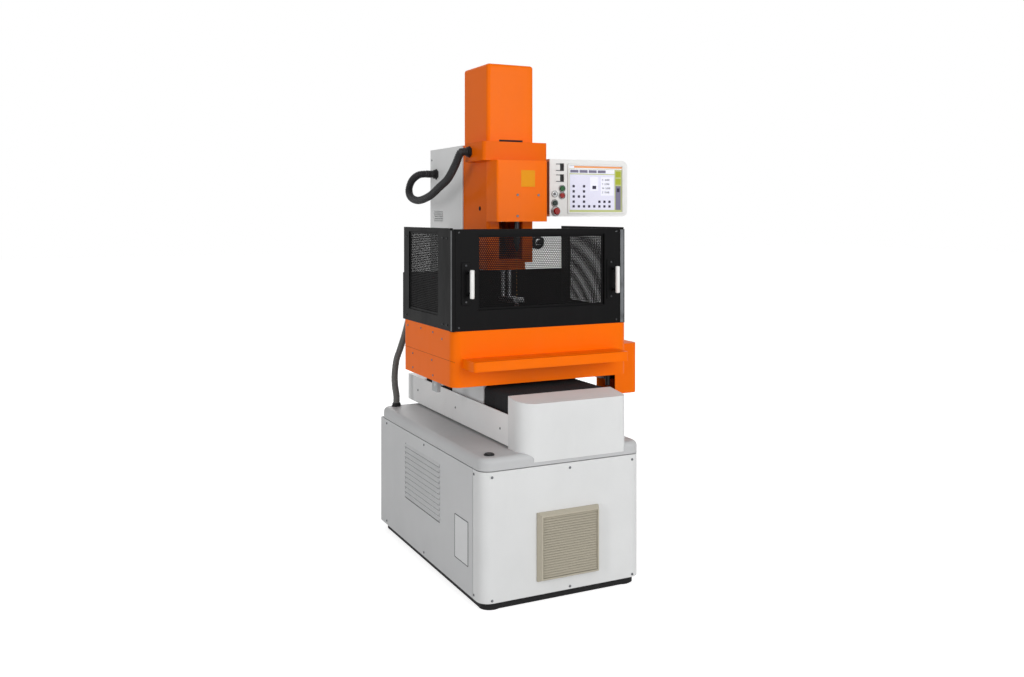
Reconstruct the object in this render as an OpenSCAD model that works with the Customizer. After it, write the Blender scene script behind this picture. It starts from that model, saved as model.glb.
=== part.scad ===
/* [Cabinet] */
// Width of the lower cabinet
cabinet_w = 662; // [640:1:700]
// Depth of the lower cabinet from front to back
cabinet_d = 1078; // [1060:1:1120]
// Height of the cabinet panels
panel_h = 459; // [440:1:480]
// Thickness of the sheet metal
sheet = 3; // [2:0.5:4]
// Radius of the cabinet's front corners
corner_r = 45; // [30:1:55]
// How far the front panel returns along each side
return_d = 72; // [60:1:90]
// Height of the lid that closes the cabinet
lid_h = 45; // [40:1:55]
// Radius of the lid's upper edges
lid_edge_r = 20; // [10:1:25]
// Height of the levelling feet
foot_h = 30; // [24:1:45]
// Diameter of a foot's pad
foot_d = 80; // [60:1:100]
// Distance of a foot's centre from the cabinet's sides
foot_inset = 58; // [50:1:66]
// Side of the square tube of the stand
stand_tube = 60; // [50:1:60]

/* [Louvres and filter] */
// Number of blades in each side louvre
louvre_n = 11; // [6:1:14]
// Length of the side louvre
louvre_l = 374; // [300:1:400]
// Height of the side louvre
louvre_h = 228; // [180:1:240]
// Distance of the louvre behind the cabinet's front
louvre_y = 384; // [340:1:420]
// Height of the louvre's lower edge above the cabinet's underside
louvre_z = 182; // [150:1:200]
// Width of the filter grille
grille_w = 252; // [230:1:260]
// Height of the filter grille
grille_h = 244; // [230:1:260]
// How far the filter grille stands out of the front
grille_t = 25; // [18:1:30]
// Number of slats in the filter grille
grille_n = 24; // [12:1:26]
// Width of the filter grille's frame
grille_rim = 13; // [10:1:20]
// Sideways offset of the filter from the middle of the cabinet
grille_x = 12; // [-20:1:40]
// Height of the filter's middle above the cabinet's underside
grille_z = 172; // [150:1:200]

/* [Bed] */
// Sideways offset of the machine's axes from the cabinet's middle
axis_x = 44; // [30:1:50]
// Width of the bed over its side covers
bed_w = 437; // [430:1:445]
// Length of the bed with its front block
bed_l = 1155; // [1150:1:1170]
// Height of the bed casting
bed_h = 140; // [130:1:145]
// Height of the bed's side covers
bed_cover_h = 115; // [100:1:120]
// Gap between the lid and the side covers
bed_gap = 8; // [5:1:12]
// Depth of the block that closes the bed's front end
block_d = 112; // [105:1:120]
// Height of the block above the lid at its back
block_h = 191; // [185:1:195]
// How much lower the block's top lies at its front
block_drop = 15; // [5:1:20]
// Radius of the block's left corner
block_left_r = 65; // [40:1:70]
// Radius of the block's right corner
block_right_r = 18; // [10:1:30]

/* [Axes] */
// Width of the saddle
saddle_w = 410; // [400:1:412]
// Length of the saddle along the bed
saddle_l = 312; // [300:1:316]
// Thickness of the saddle
saddle_t = 80; // [75:1:84]
// Distance of the saddle behind the cabinet's front
saddle_y = 353; // [345:1:360]
// Width of a linear rail
rail_w = 20; // [16:1:22]
// Height of a linear rail
rail_h = 20; // [18:1:22]
// Radius of the ballscrews
screw_r = 8; // [7:0.5:9]
// Side of a servo motor's square flange
motor_w = 64; // [56:1:70]
// Length of a servo motor
motor_l = 84; // [70:1:86]
// Radial clearance of a shaft that runs in a bore
run_fit = 0.05; // [0.02:0.01:0.09]
// Clearance between pieces that slide past each other
slide_gap = 0.5; // [0.4:0.1:0.8]

/* [Table and tray] */
// Width of the splash tray
tray_w = 762; // [750:1:770]
// Depth of the splash tray
tray_l = 538; // [530:1:545]
// Height of the splash tray's side
tray_h = 208; // [200:1:215]
// Radius of the tray's corners
tray_r = 35; // [25:1:45]
// Gap between the saddle's top and the tray's lower edge
tray_gap = 17; // [14:1:20]
// Depth of the shelf along the tray's front
shelf_d = 108; // [80:1:120]
// Width of the shelf
shelf_w = 660; // [600:1:680]
// Height of the shelf
shelf_h = 36; // [25:1:45]
// Width of the slotted table
table_w = 560; // [500:1:600]
// Depth of the slotted table
table_l = 380; // [340:1:400]
// Thickness of the slotted table
table_t = 40; // [35:1:40]
// Width of the table's slots at the top
slot_w = 12; // [10:1:14]
// Spacing of the table's slots
slot_pitch = 100; // [80:5:110]
// Spacing of the clamping holes across the table
hole_pitch_x = 480; // [400:10:500]
// Spacing of the clamping holes from front to back
hole_pitch_y = 250; // [240:10:260]
// Radius of a clamping hole
hole_r = 4.25; // [3.5:0.05:5]

/* [Guard] */
// Height of the guard above the tray
guard_h = 383; // [370:1:390]
// Thickness of the guard's walls
wall_t = 12; // [10:1:14]
// Height of the back wall
back_wall_h = 193; // [180:1:196]
// Length of a side window
side_window_l = 318; // [280:1:330]
// Height of a side window
side_window_h = 318; // [280:1:325]
// Width of the lifting front guard
front_w = 713; // [700:1:716]
// Width of the front guard's window
front_window_w = 553; // [500:1:580]
// Height of the front guard's window
front_window_h = 282; // [250:1:300]
// Height of the front guard's top rail
top_rail_h = 22; // [18:1:30]
// Thickness of the perforated sheets
mesh_t = 2; // [1.5:0.5:3]
// Length of a handle
handle_l = 106; // [90:1:120]
// How far a handle stands out
handle_reach = 46; // [35:1:50]

/* [Column and panel] */
// Width of the column's cover
column_w = 220; // [212:1:224]
// Depth of the column's foot
column_d = 193; // [180:1:196]
// Height of the column above the bed
column_h = 1066; // [1050:1:1080]
// How far the column's neck reaches forward of its foot
neck_reach = 182; // [175:1:184]
// Height of the neck's underside above the bed
neck_z = 552; // [545:1:560]
// Width of the control panel
panel_w = 383; // [370:1:400]
// Height of the control panel's box
panel_box_h = 240; // [230:1:250]
// Depth of the control panel
panel_t = 60; // [50:1:70]
// Width of the screen
screen_w = 264; // [250:1:270]
// Height of the screen
screen_h = 198; // [185:1:200]
// Radius of a push button
button_r = 11; // [9:0.5:12]
// Radius of the emergency stop's head
stop_r = 15; // [13:0.5:16]

/* [Head] */
// Width of the head's housing
head_w = 212; // [208:1:216]
// Depth of the head's housing
head_d = 246; // [240:1:250]
// Height of the head's housing below the collar
head_h = 417; // [400:1:430]
// Height of the foot plate under the housing
head_foot_h = 29; // [24:1:32]
// Height of the collar
collar_h = 77; // [70:1:85]
// Width of the collar
collar_w = 294; // [284:1:304]
// Depth of the collar
collar_d = 192; // [180:1:200]
// How far the collar stands in front of the housing
collar_out = 46; // [40:1:50]
// Height of the upper cover
cover_h = 323; // [300:1:340]
// Radius of the head's upright edges
head_r = 15; // [10:1:18]
// Width of the spindle's cover
box_w = 228; // [220:1:236]
// Depth of the spindle's cover
box_d = 107; // [104:1:110]
// Height of the spindle's cover
box_h = 247; // [240:1:255]
// Width of the slot that the spindle's arm travels in
way_w = 108; // [100:1:112]
// Radius of the chuck
chuck_r = 10; // [9:0.5:12]
// Length of the chuck below the spindle
chuck_l = 120; // [100:1:130]
// Radius of the tube electrode
electrode_r = 1; // [0.5:0.05:1.5]
// Radius of the rods that carry the guide
rod_r = 9; // [7:0.5:10]

/* [Hoses] */
// Outer diameter of the head's hose
hose_d = 34; // [30:1:36]
// Number of ribs on the head's hose
hose_ribs = 96; // [40:1:100]
// Outer diameter of the cable conduit
conduit_d = 30; // [26:1:34]
// Number of ribs on the conduit
conduit_ribs = 72; // [30:1:90]

/* [Hidden] */
$fn = 48;
over = 1;

// Levels and edges that several pieces share
seam = 3;
cabinet_z = foot_h;
cabinet_x = cabinet_w / 2;
panel_top = cabinet_z + panel_h;
lid_z = panel_top + seam;
lid_top = lid_z + lid_h;
bed_rise = 83;
bed_top = lid_top + bed_rise;
bed_z = bed_top - bed_h;
bed_x = axis_x - bed_w / 2;
bed_cover_z = lid_top + bed_gap;
bed_cover_top = bed_cover_z + bed_cover_h;
block_lip = 2;
block_lap = 32;
block_z = lid_top - block_lap;
block_y = block_d - block_lip;
bed_end = bed_l - block_lip;
carriage_lift = 10;
saddle_z = bed_top + rail_h + carriage_lift;
saddle_top = saddle_z + saddle_t;
tray_z = saddle_top + tray_gap;
tray_top = tray_z + tray_h;
tray_x = axis_x - tray_w / 2;
tray_y = 240;
tray_back = tray_y + tray_l;
table_y = tray_y + tray_l / 2;
column_x = axis_x - column_w / 2;
column_y = bed_end - column_d;
column_top = bed_top + column_h;
neck_bottom = bed_top + neck_z;
neck_y = column_y - neck_reach;
head_gap = 2;
head_drop = 10;
head_back = neck_y - head_gap;
head_y = head_back - head_d;
head_x = axis_x - head_w / 2;
head_z = neck_bottom - head_drop;
body_z = head_z + head_foot_h;
collar_z = body_z + head_h;
collar_top = collar_z + collar_h;
spindle_y = head_y - box_d / 2;

// Rectangle with rounded corners, measured from its lower left corner
module rounded(w, d, r) {
  translate([r, 0]) square([w - 2 * r, d]);
  translate([0, r]) square([w, d - 2 * r]);
  for (x = [r, w - r], y = [r, d - r]) translate([x, y]) circle(r);
}

// Block between two opposite corners
module span(a, b) {
  translate(a) cube(b - a);
}

// Profile of a wall and the sheet above it, rounded where they meet
module edge_area(r, h, e) {
  square([r - e, h]);
  square([r, h - e]);
  intersection() {
    translate([r - e, h - e]) circle(e);
    square([r, h]);
  }
}
module edge_profile(r, h, e, t) {
  difference() {
    edge_area(r, h, e);
    translate([0, -over]) edge_area(r - t, h - t + over, e - t);
  }
}

// Sheet hood, open below, with rounded corners and rounded upper edges
module hood(w, d, h, r, e, t) {
  for (end = [0, 1]) {
    translate([w / 2, d / 2, 0]) rotate([0, 0, 180 * end]) translate([-w / 2, -d / 2, 0]) {
      translate([r, r, 0]) rotate([0, 0, 180]) rotate_extrude(angle = 90) edge_profile(r, h, e, t);
      translate([w - r, r, 0]) rotate([0, 0, -90]) rotate_extrude(angle = 90) edge_profile(r, h, e, t);
      translate([r, r, 0]) rotate([90, 0, -90]) translate([0, 0, 2 * r - w])
        linear_extrude(w - 2 * r) edge_profile(r, h, e, t);
      translate([r, d - r, 0]) rotate([90, 0, 0]) mirror([1, 0, 0])
        linear_extrude(d - 2 * r) edge_profile(r, h, e, t);
    }
  }
  translate([r, r, h - t]) cube([w - 2 * r, d - 2 * r, t]);
}

// Everything is drawn round the cabinet and then moved over the middle of the plan
module placed() {
  translate([-mid_x, -mid_y, 0]) children();
}

// Levelling feet
foot_pad_t = 10;
foot_stem_r = 9;
foot_nut_r = 16;
foot_nut_t = 8;
module feet() {
  color("#2c2c2e") placed()
    for (x = [foot_inset - cabinet_x, cabinet_x - foot_inset])
      for (y = [foot_inset, cabinet_d - foot_inset]) translate([x, y, 0]) {
        cylinder(foot_pad_t, foot_d / 2, foot_d / 2 - sheet);
        cylinder(foot_h, foot_stem_r, foot_stem_r);
        translate([0, 0, foot_h - foot_nut_t]) cylinder(foot_nut_t, foot_nut_r, foot_nut_r, $fn = 6);
      }
}

// Welded frame inside the cabinet
stand_gap = 28;
stand_beam_n = 3;
module stand() {
  x = cabinet_x - stand_gap;
  y = cabinet_d - stand_gap;
  t = stand_tube;
  beam_z = bed_z - t;
  pitch = (y - stand_gap - 3 * t) / (stand_beam_n - 1);
  color("#4a4d50") placed() {
    for (side = [-x, x - t]) {
      span([side, stand_gap, cabinet_z], [side + t, stand_gap + t, block_z]);
      span([side, y - t, cabinet_z], [side + t, y, lid_top - sheet]);
      for (at = [cabinet_z, beam_z]) span([side, stand_gap + t, at], [side + t, y - t, at + t]);
    }
    for (at = [stand_gap, y - t])
      span([t - x, at, cabinet_z], [x - t, at + t, cabinet_z + t]);
    for (i = [0 : stand_beam_n - 1]) translate([0, stand_gap + t + i * pitch, 0])
      span([t - x, 0, beam_z], [x - t, t, bed_z]);
  }
}

// Outline of the cabinet, drawn in by a given amount
module cabinet_plan(inset) {
  r = corner_r - inset;
  translate([inset - cabinet_x, inset]) {
    rounded(cabinet_w - 2 * inset, cabinet_d / 2, r);
    translate([0, corner_r]) square([cabinet_w - 2 * inset, cabinet_d - 2 * inset - corner_r]);
  }
}

// Pressed louvre: slots with a hood over each, rising along z and running along x
hood_out = 6;
hood_share = 0.55;
module hoods(l, h, n) {
  pitch = h / n;
  for (i = [0 : n - 1]) translate([0, 0, i * pitch + pitch * (1 - hood_share) / 2])
    rotate([90, 0, 90]) linear_extrude(l)
      polygon([[0, 0], [-hood_out, 0], [-hood_out, sheet / 2], [0, pitch * hood_share]]);
}
module hood_slots(l, h, n) {
  pitch = h / n;
  for (i = [0 : n - 1]) translate([sheet, -over, i * pitch])
    cube([l - 2 * sheet, sheet + 2 * over, pitch * (1 - hood_share)]);
}

// Front sheet that wraps round both front corners
module front_panel() {
  x = grille_x - grille_w / 2 + grille_rim;
  z = cabinet_z + grille_z - grille_h / 2 + grille_rim;
  color("#d9dadb") placed() difference() {
    intersection() {
      union() {
        translate([0, 0, cabinet_z]) linear_extrude(panel_h) difference() {
          cabinet_plan(0);
          cabinet_plan(sheet);
        }
        for (at = [cabinet_z, panel_top - sheet]) translate([0, 0, at]) linear_extrude(sheet)
          difference() {
            cabinet_plan(0);
            translate([stand_gap - cabinet_x, stand_gap])
              square([cabinet_w - 2 * stand_gap, cabinet_d]);
          }
      }
      span([-cabinet_x, 0, cabinet_z], [cabinet_x, return_d, panel_top]);
    }
    translate([x, -over, z])
      cube([grille_w - 2 * grille_rim, sheet + 2 * over, grille_h - 2 * grille_rim]);
  }
}

// Side sheets, each with a louvred field
module side_sheet() {
  y = return_d + seam;
  difference() {
    union() {
      span([-cabinet_x, y, cabinet_z], [sheet - cabinet_x, cabinet_d - sheet, panel_top]);
      for (at = [cabinet_z, panel_top - sheet])
        span([-cabinet_x, y, at], [stand_gap - cabinet_x, cabinet_d - stand_gap, at + sheet]);
    }
    translate([-cabinet_x, louvre_y + louvre_l, cabinet_z + louvre_z]) rotate([0, 0, -90])
      hood_slots(louvre_l, louvre_h, louvre_n);
  }
  translate([-cabinet_x, louvre_y + louvre_l, cabinet_z + louvre_z]) rotate([0, 0, -90])
    hoods(louvre_l, louvre_h, louvre_n);
}
module side_panels() {
  color("#b9bbbc") placed() {
    side_sheet();
    mirror([1, 0, 0]) side_sheet();
  }
}

// Back sheet with a louvred field in its middle
module rear_panel() {
  y = cabinet_d - sheet;
  color("#b9bbbc") placed() {
    difference() {
      union() {
        span([-cabinet_x, y, cabinet_z], [cabinet_x, cabinet_d, panel_top]);
        for (at = [cabinet_z, panel_top - sheet])
          span([stand_gap - cabinet_x, cabinet_d - stand_gap, at],
            [cabinet_x - stand_gap, cabinet_d, at + sheet]);
      }
      translate([louvre_l / 2, cabinet_d, cabinet_z + louvre_z]) rotate([0, 0, 180])
        hood_slots(louvre_l, louvre_h, louvre_n);
    }
    translate([louvre_l / 2, cabinet_d, cabinet_z + louvre_z]) rotate([0, 0, 180])
      hoods(louvre_l, louvre_h, louvre_n);
  }
}

// Outline of the block at the bed's front end, drawn in by a given amount
module block_plan(inset) {
  d = block_d + over;
  w = bed_w - 2 * inset;
  left = block_left_r - inset;
  right = block_right_r - inset;
  translate([bed_x + inset, inset - block_lip]) {
    translate([0, left]) square([w, d - inset - left]);
    translate([left, 0]) square([w - left - right, d - inset]);
    translate([left, left]) circle(left);
    translate([w - right, right]) circle(right);
    translate([w - left, right]) square([left, left]);
  }
}

// Flanged lid with rounded edges, cut out for the bed and for its front block
bed_side = 34;
bed_foot_end = 1040;
module lid() {
  color("#c9cacb") placed() difference() {
    translate([-cabinet_x, 0, lid_z])
      hood(cabinet_w, cabinet_d, lid_h, corner_r, lid_edge_r, sheet);
    translate([0, 0, block_z]) linear_extrude(lid_h) block_plan(0);
    span([bed_x + bed_side, block_y - over, lid_z], [bed_x + bed_w - bed_side, bed_foot_end, lid_top + over]);
  }
}

// Ring on an axis, for glands and collars
module ring(r, bore, h) {
  difference() {
    cylinder(h, r, r);
    translate([0, 0, -over]) cylinder(h + 2 * over, bore, bore);
  }
}

// Glands on the lid and on the column, and the blind plug
plug_x = -277;
plug_y = 53;
plug_r = 19;
plug_t = 6;
gland_t = 14;
gland_wall = 7;
gland_nut_t = 6;
conduit_x = -273;
conduit_y = 1039;
conduit_end_y = 1050;
conduit_end_z = 1110;
hose_end_y = 1075;
hose_end_z = 1573;
module gland(d) {
  r = d / 2 + gland_wall;
  cylinder(gland_nut_t, r, r, $fn = 6);
  translate([0, 0, gland_nut_t]) cylinder(gland_t - gland_nut_t, r - gland_wall / 2, r - gland_wall / 2);
}
module cable_glands() {
  color("#1c1c1e") placed() {
    translate([plug_x, plug_y, lid_top]) {
      cylinder(plug_t / 2, plug_r, plug_r);
      cylinder(plug_t, plug_r - plug_t / 2, plug_r - plug_t / 2);
    }
    translate([conduit_x, conduit_y, lid_top]) gland(conduit_d);
    translate([column_x, conduit_end_y, conduit_end_z]) rotate([0, -90, 0]) gland(conduit_d);
    translate([column_x, hose_end_y, hose_end_z]) rotate([0, -90, 0]) gland(hose_d);
  }
}

// Ribbed hose swept along a smooth curve through the given points. Each rib is two rings.
hose_sides = 8;
hose_wall = 2;
rib_depth = 2.5;
bore_step = 4;
function unit(v) = v / norm(v);
function bend(p, i, t) =
  let (n = len(p) - 1, a = p[max(i - 1, 0)], b = p[i], c = p[min(i + 1, n)], d = p[min(i + 2, n)])
  0.5 * (2 * b + (c - a) * t + (2 * a - 5 * b + 4 * c - d) * t * t
    + (3 * b - a - 3 * c + d) * t * t * t);
function along(p, n) = [for (k = [0 : n])
  let (s = k / n * (len(p) - 1), i = min(floor(s), len(p) - 2)) bend(p, i, s - i)];
function lengths(q) = [for (k = 0, s = 0; k < len(q);
  s = s + (k + 1 < len(q) ? norm(q[k + 1] - q[k]) : 0), k = k + 1) s];
function at_length(q, s, x) = let (i = max([for (k = [0 : len(q) - 2]) if (s[k] <= x) k]))
  q[i] + (q[i + 1] - q[i]) * (x - s[i]) / (s[i + 1] - s[i]);
function even(q, n) = let (s = lengths(q), total = s[len(q) - 1])
  [for (k = [0 : n]) at_length(q, s, min(k / n, 1) * total)];
function heading(q, i) = unit(q[min(i + 1, len(q) - 1)] - q[max(i - 1, 0)]);
function sideways(q, first) = [for (i = 0, u = first; i < len(q);
  i = i + 1, u = i < len(q) ? unit(u - (u * heading(q, i)) * heading(q, i)) : u) u];
function hoop(c, t, u, r) = let (v = cross(t, u))
  [for (k = [0 : hose_sides - 1]) let (a = k * 360 / hose_sides) c + r * (cos(a) * u + sin(a) * v)];
function skin(from, rings, out) = [for (i = [0 : rings - 2], k = [0 : hose_sides - 1])
  let (a = from + i * hose_sides + k, b = from + i * hose_sides + (k + 1) % hose_sides,
    c = a + hose_sides, d = b + hose_sides)
  each (out ? [[a, d, b], [a, c, d]] : [[a, b, d], [a, d, c]])];
function rim(a0, b0, out) = [for (k = [0 : hose_sides - 1])
  let (a = a0 + k, b = a0 + (k + 1) % hose_sides, c = b0 + k, d = b0 + (k + 1) % hose_sides)
  each (out ? [[a, b, d], [a, d, c]] : [[a, d, b], [a, c, d]])];
module ribbed(points, d, ribs, first) {
  fine = along(points, 12 * (len(points) - 1));
  rings = 2 * ribs;
  q = even(fine, rings - 1);
  u = sideways(q, first);
  inner = [for (i = [0 : bore_step : rings - 1 - bore_step]) i];
  at = concat(inner, [rings - 1]);
  shell = [for (i = [0 : rings - 1])
    each hoop(q[i], heading(q, i), u[i], d / 2 - (i % 2 == 0 ? rib_depth : 0))];
  bore = [for (i = at) each hoop(q[i], heading(q, i), u[i], d / 2 - rib_depth - hose_wall)];
  m = len(shell);
  last = len(at) - 1;
  polyhedron(concat(shell, bore), concat(skin(0, rings, true), skin(m, last + 1, false),
    rim(0, m, true), rim((rings - 1) * hose_sides, m + last * hose_sides, false)));
}

// Conduit from the lid up behind the tray and into the column's side
conduit_route = [[-273, 1039, 551.6], [-273, 1039, 583], [-280, 1039, 632], [-281, 1039, 680],
  [-273, 1039, 742], [-256, 1039, 790], [-235, 1040, 850], [-212, 1042, 930],
  [-190, 1045, 1010], [-160, 1048, 1075], [-124, 1050, 1108],
  [-104, 1050, 1110], [-80.5, 1050, 1110]];
module conduit() {
  color("#5a5a58") placed() ribbed(conduit_route, conduit_d, conduit_ribs, [1, 0, 0]);
}

// Bevelled frame with slanted slats
slat_share = 0.62;
slat_back = 6;
grille_bevel = 8;
module bevelled(w) {
  polygon([[0, 0], [0, w], [-grille_bevel, w], [-grille_t, w - grille_bevel],
    [-grille_t, grille_bevel], [-grille_bevel, 0]]);
}
module filter_grille() {
  in_w = grille_w - 2 * grille_rim;
  in_h = grille_h - 2 * grille_rim;
  pitch = in_h / grille_n;
  blade = pitch * slat_share;
  color("#c3beb0") placed()
    translate([grille_x - grille_w / 2, 0, cabinet_z + grille_z - grille_h / 2]) {
      difference() {
        intersection() {
          rotate([90, 0, 90]) linear_extrude(grille_w) bevelled(grille_h);
          mirror([1, 0, 0]) rotate([0, 0, 90]) linear_extrude(grille_h) bevelled(grille_w);
        }
        translate([grille_rim, -grille_t - over, grille_rim])
          cube([in_w, grille_t + 2 * over, in_h]);
      }
      for (i = [0 : grille_n - 1])
        translate([grille_rim - over, -grille_t + sheet, grille_rim + i * pitch + (pitch - blade) / 2])
          rotate([90, 0, 90]) linear_extrude(in_w + 2 * over)
            polygon([[0, 0], [slat_back, blade], [slat_back, blade + sheet / 2], [0, sheet / 2]]);
    }
}

// Bed casting with its screw channel and the rear bearing
rail_apart = 130;
bed_start = block_y;
channel_w = 64;
channel_z = 20;
screw_lift = 8;
bearing_w = 56;
bearing_t = 20;
bearing_gap = 15;
bearing_h = 22;
y_screw_z = bed_top + screw_lift;
rear_bearing_y = column_y - bearing_gap - bearing_t;
module bed() {
  x0 = bed_x + bed_side;
  x1 = bed_x + bed_w - bed_side;
  color("#a9abad") placed() difference() {
    union() {
      difference() {
        union() {
          span([x0, bed_start, bed_z], [x1, bed_foot_end, bed_top]);
          span([x0, bed_start, bed_cover_z], [x1, bed_end - sheet, bed_top]);
        }
        span([axis_x - channel_w / 2, bed_start - over, bed_top - channel_z],
          [axis_x + channel_w / 2, column_y, bed_top + over]);
      }
      span([axis_x - bearing_w / 2, rear_bearing_y, bed_top - channel_z],
        [axis_x + bearing_w / 2, rear_bearing_y + bearing_t, bed_top + bearing_h]);
    }
    translate([axis_x, rear_bearing_y - over, y_screw_z]) rotate([-90, 0, 0])
      cylinder(bearing_t + 2 * over, screw_r + run_fit, screw_r + run_fit);
  }
}

// Sheet covers along the bed and round the column's foot
module bed_covers() {
  top = bed_cover_top;
  color("#b5b7b8") placed() {
    for (side = [0, 1]) translate([axis_x, 0, 0]) mirror([side, 0, 0]) {
      w = bed_w / 2;
      span([-w, block_y, bed_cover_z], [sheet - w, bed_end - sheet, top]);
      span([sheet - w, block_y, bed_cover_z], [bed_side - w, bed_end - sheet, bed_cover_z + sheet]);
      span([sheet - w, column_y - sheet, top - sheet], [-column_w / 2, bed_end - sheet, top]);
      span([sheet - w, column_y - sheet, bed_top], [-column_w / 2, column_y, top - sheet]);
      span([-w, bed_end - sheet, bed_cover_z], [-column_w / 2, bed_end, top]);
    }
    span([column_x, bed_end - sheet, bed_cover_z], [column_x + column_w, bed_end, bed_top]);
  }
}

// Hollow block with a sloping top in front of the bellows
bellows_top = 107;
bellows_wall = 16;
module slope(inset) {
  top = lid_top + block_h - inset;
  back = block_y + (inset > 0 ? over : 0);
  translate([bed_x - over, 0, 0]) rotate([90, 0, 90]) linear_extrude(bed_w + 2 * over)
    polygon([[-block_lip - over, block_z - over], [back, block_z - over],
      [back, top], [-block_lip - over, top - block_drop]]);
}
module front_block() {
  color("#dcddde") placed() {
    difference() {
      intersection() {
        translate([0, 0, block_z]) linear_extrude(lid_top + block_h) block_plan(0);
        slope(0);
      }
      intersection() {
        translate([0, 0, block_z - over]) linear_extrude(lid_top + block_h) block_plan(sheet);
        slope(sheet);
      }
    }
    difference() {
      span([bed_x + sheet, block_y - sheet, bed_top],
        [bed_x + bed_w - sheet, block_y, lid_top + block_h - sheet]);
      span([axis_x - saddle_w / 2 + bellows_wall, block_y - block_d, bed_top - over],
        [axis_x + saddle_w / 2 - bellows_wall, block_y + over, bed_top + bellows_top - bellows_wall]);
    }
  }
}

// Rails of the Y axis on the bed and of the W axis on the column
rail_inset = 15;
column_gap = 7;
cast_w = column_w - 2 * (sheet + column_gap);
cast_y = neck_y + 4;
cast_z = neck_bottom + sheet;
cast_top = column_top - sheet - column_gap;
w_apart = 60;
void_w = 90;
void_d = 100;
void_floor = 20;
w_screw_y = neck_y + 52;
module base_rails() {
  color("#8f9396") placed() for (side = [-1, 1]) {
    translate([axis_x + side * rail_apart - rail_w / 2, bed_start + rail_inset, bed_top])
      cube([rail_w, rear_bearing_y - bed_start - rail_inset, rail_h]);
    translate([axis_x + side * w_apart - rail_w / 2, cast_y - rail_h, cast_z + rail_inset])
      cube([rail_w, rail_h, cast_top - cast_z - 2 * rail_inset]);
  }
}

// Servo motor with its mounting plate, its shaft end along z and a bore for the screw
plate_w = 80;
plate_t = 8;
screw_reach = 15;
motor_neck_r = 15;
module motor(plate, neck) {
  difference() {
    union() {
      translate([-motor_w / 2, -motor_w / 2, -plate_t - motor_l]) cube([motor_w, motor_w, motor_l]);
      translate([-plate / 2, -motor_w / 2, -plate_t]) cube([plate, motor_w, plate_t]);
      translate([0, 0, -over]) cylinder(neck + over, motor_neck_r, motor_neck_r);
    }
    translate([0, 0, -plate_t - screw_reach])
      cylinder(plate_t + screw_reach + neck + over, screw_r + run_fit, screw_r + run_fit);
  }
}
module base_motors() {
  color("#2b2d30") placed() {
    translate([axis_x, bed_start, y_screw_z]) rotate([-90, 0, 0]) motor(plate_w, 0);
    translate([axis_x, w_screw_y, cast_top - plate_t - motor_l]) rotate([180, 0, 0])
      motor(void_w, 0);
  }
}

// Cast C-shaped column with a hollow neck for the lifting screw
module column() {
  x0 = axis_x - cast_w / 2;
  x1 = axis_x + cast_w / 2;
  color("#9ea2a5") placed() difference() {
    union() {
      span([x0, column_y + column_gap, bed_top], [x1, bed_end - sheet - column_gap, cast_top]);
      span([x0, cast_y, cast_z], [x1, column_y + 2 * column_gap, cast_top]);
    }
    span([axis_x - void_w / 2, cast_y - over, cast_z + void_floor],
      [axis_x + void_w / 2, cast_y + void_d, cast_top + over]);
    translate([axis_x, w_screw_y, cast_z - over])
      cylinder(void_floor + 2 * over, screw_r + run_fit, screw_r + run_fit);
  }
}

// Sheet cover of the column with a louvred vent on its left
vent_l = 109;
vent_h = 51;
vent_n = 5;
vent_y = 1000;
vent_z = 1359;
module column_side(inset) {
  polygon([[column_y + inset, bed_top - (inset > 0 ? over : 0)],
    [bed_end - inset, bed_top - (inset > 0 ? over : 0)], [bed_end - inset, column_top - inset],
    [neck_y + inset, column_top - inset], [neck_y + inset, neck_bottom + inset],
    [column_y + inset, neck_bottom + inset]]);
}
module column_cover() {
  color("#bfc0c1") placed() {
    difference() {
      translate([column_x, 0, 0]) rotate([90, 0, 90]) linear_extrude(column_w) column_side(0);
      translate([column_x + sheet, 0, 0]) rotate([90, 0, 90])
        linear_extrude(column_w - 2 * sheet) column_side(sheet);
      span([column_x + sheet + column_gap, neck_y - over, cast_z],
        [column_x + column_w - sheet - column_gap, neck_y + sheet + over, cast_top]);
      translate([column_x, vent_y + vent_l, vent_z]) rotate([0, 0, -90])
        hood_slots(vent_l, vent_h, vent_n);
    }
    translate([column_x, vent_y + vent_l, vent_z]) rotate([0, 0, -90])
      hoods(vent_l, vent_h, vent_n);
  }
}

// Arm that carries the control panel from the column's right side
arm_w = 50;
arm_t = 12;
arm_y = 880;
arm_z = 1470;
arm_plate = 110;
arm_x = 375;
panel_x = 209;
panel_y = 500;
panel_z = 1381;
module panel_arm() {
  back = panel_y + panel_t;
  side = column_x + column_w;
  color("#e4e4e2") placed() {
    span([side, arm_y - arm_w, arm_z - arm_w], [side + arm_t, arm_y - arm_w + arm_plate, arm_z + 2 * arm_w]);
    span([side + arm_t, arm_y, arm_z], [arm_x + arm_w, arm_y + arm_w, arm_z + arm_w]);
    span([arm_x, back + arm_t, arm_z], [arm_x + arm_w, arm_y, arm_z + arm_w]);
    span([arm_x + arm_w / 2 - arm_plate / 2, back, arm_z - arm_w],
      [arm_x + arm_w / 2 + arm_plate / 2, back + arm_t, arm_z + 2 * arm_w]);
  }
}

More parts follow.
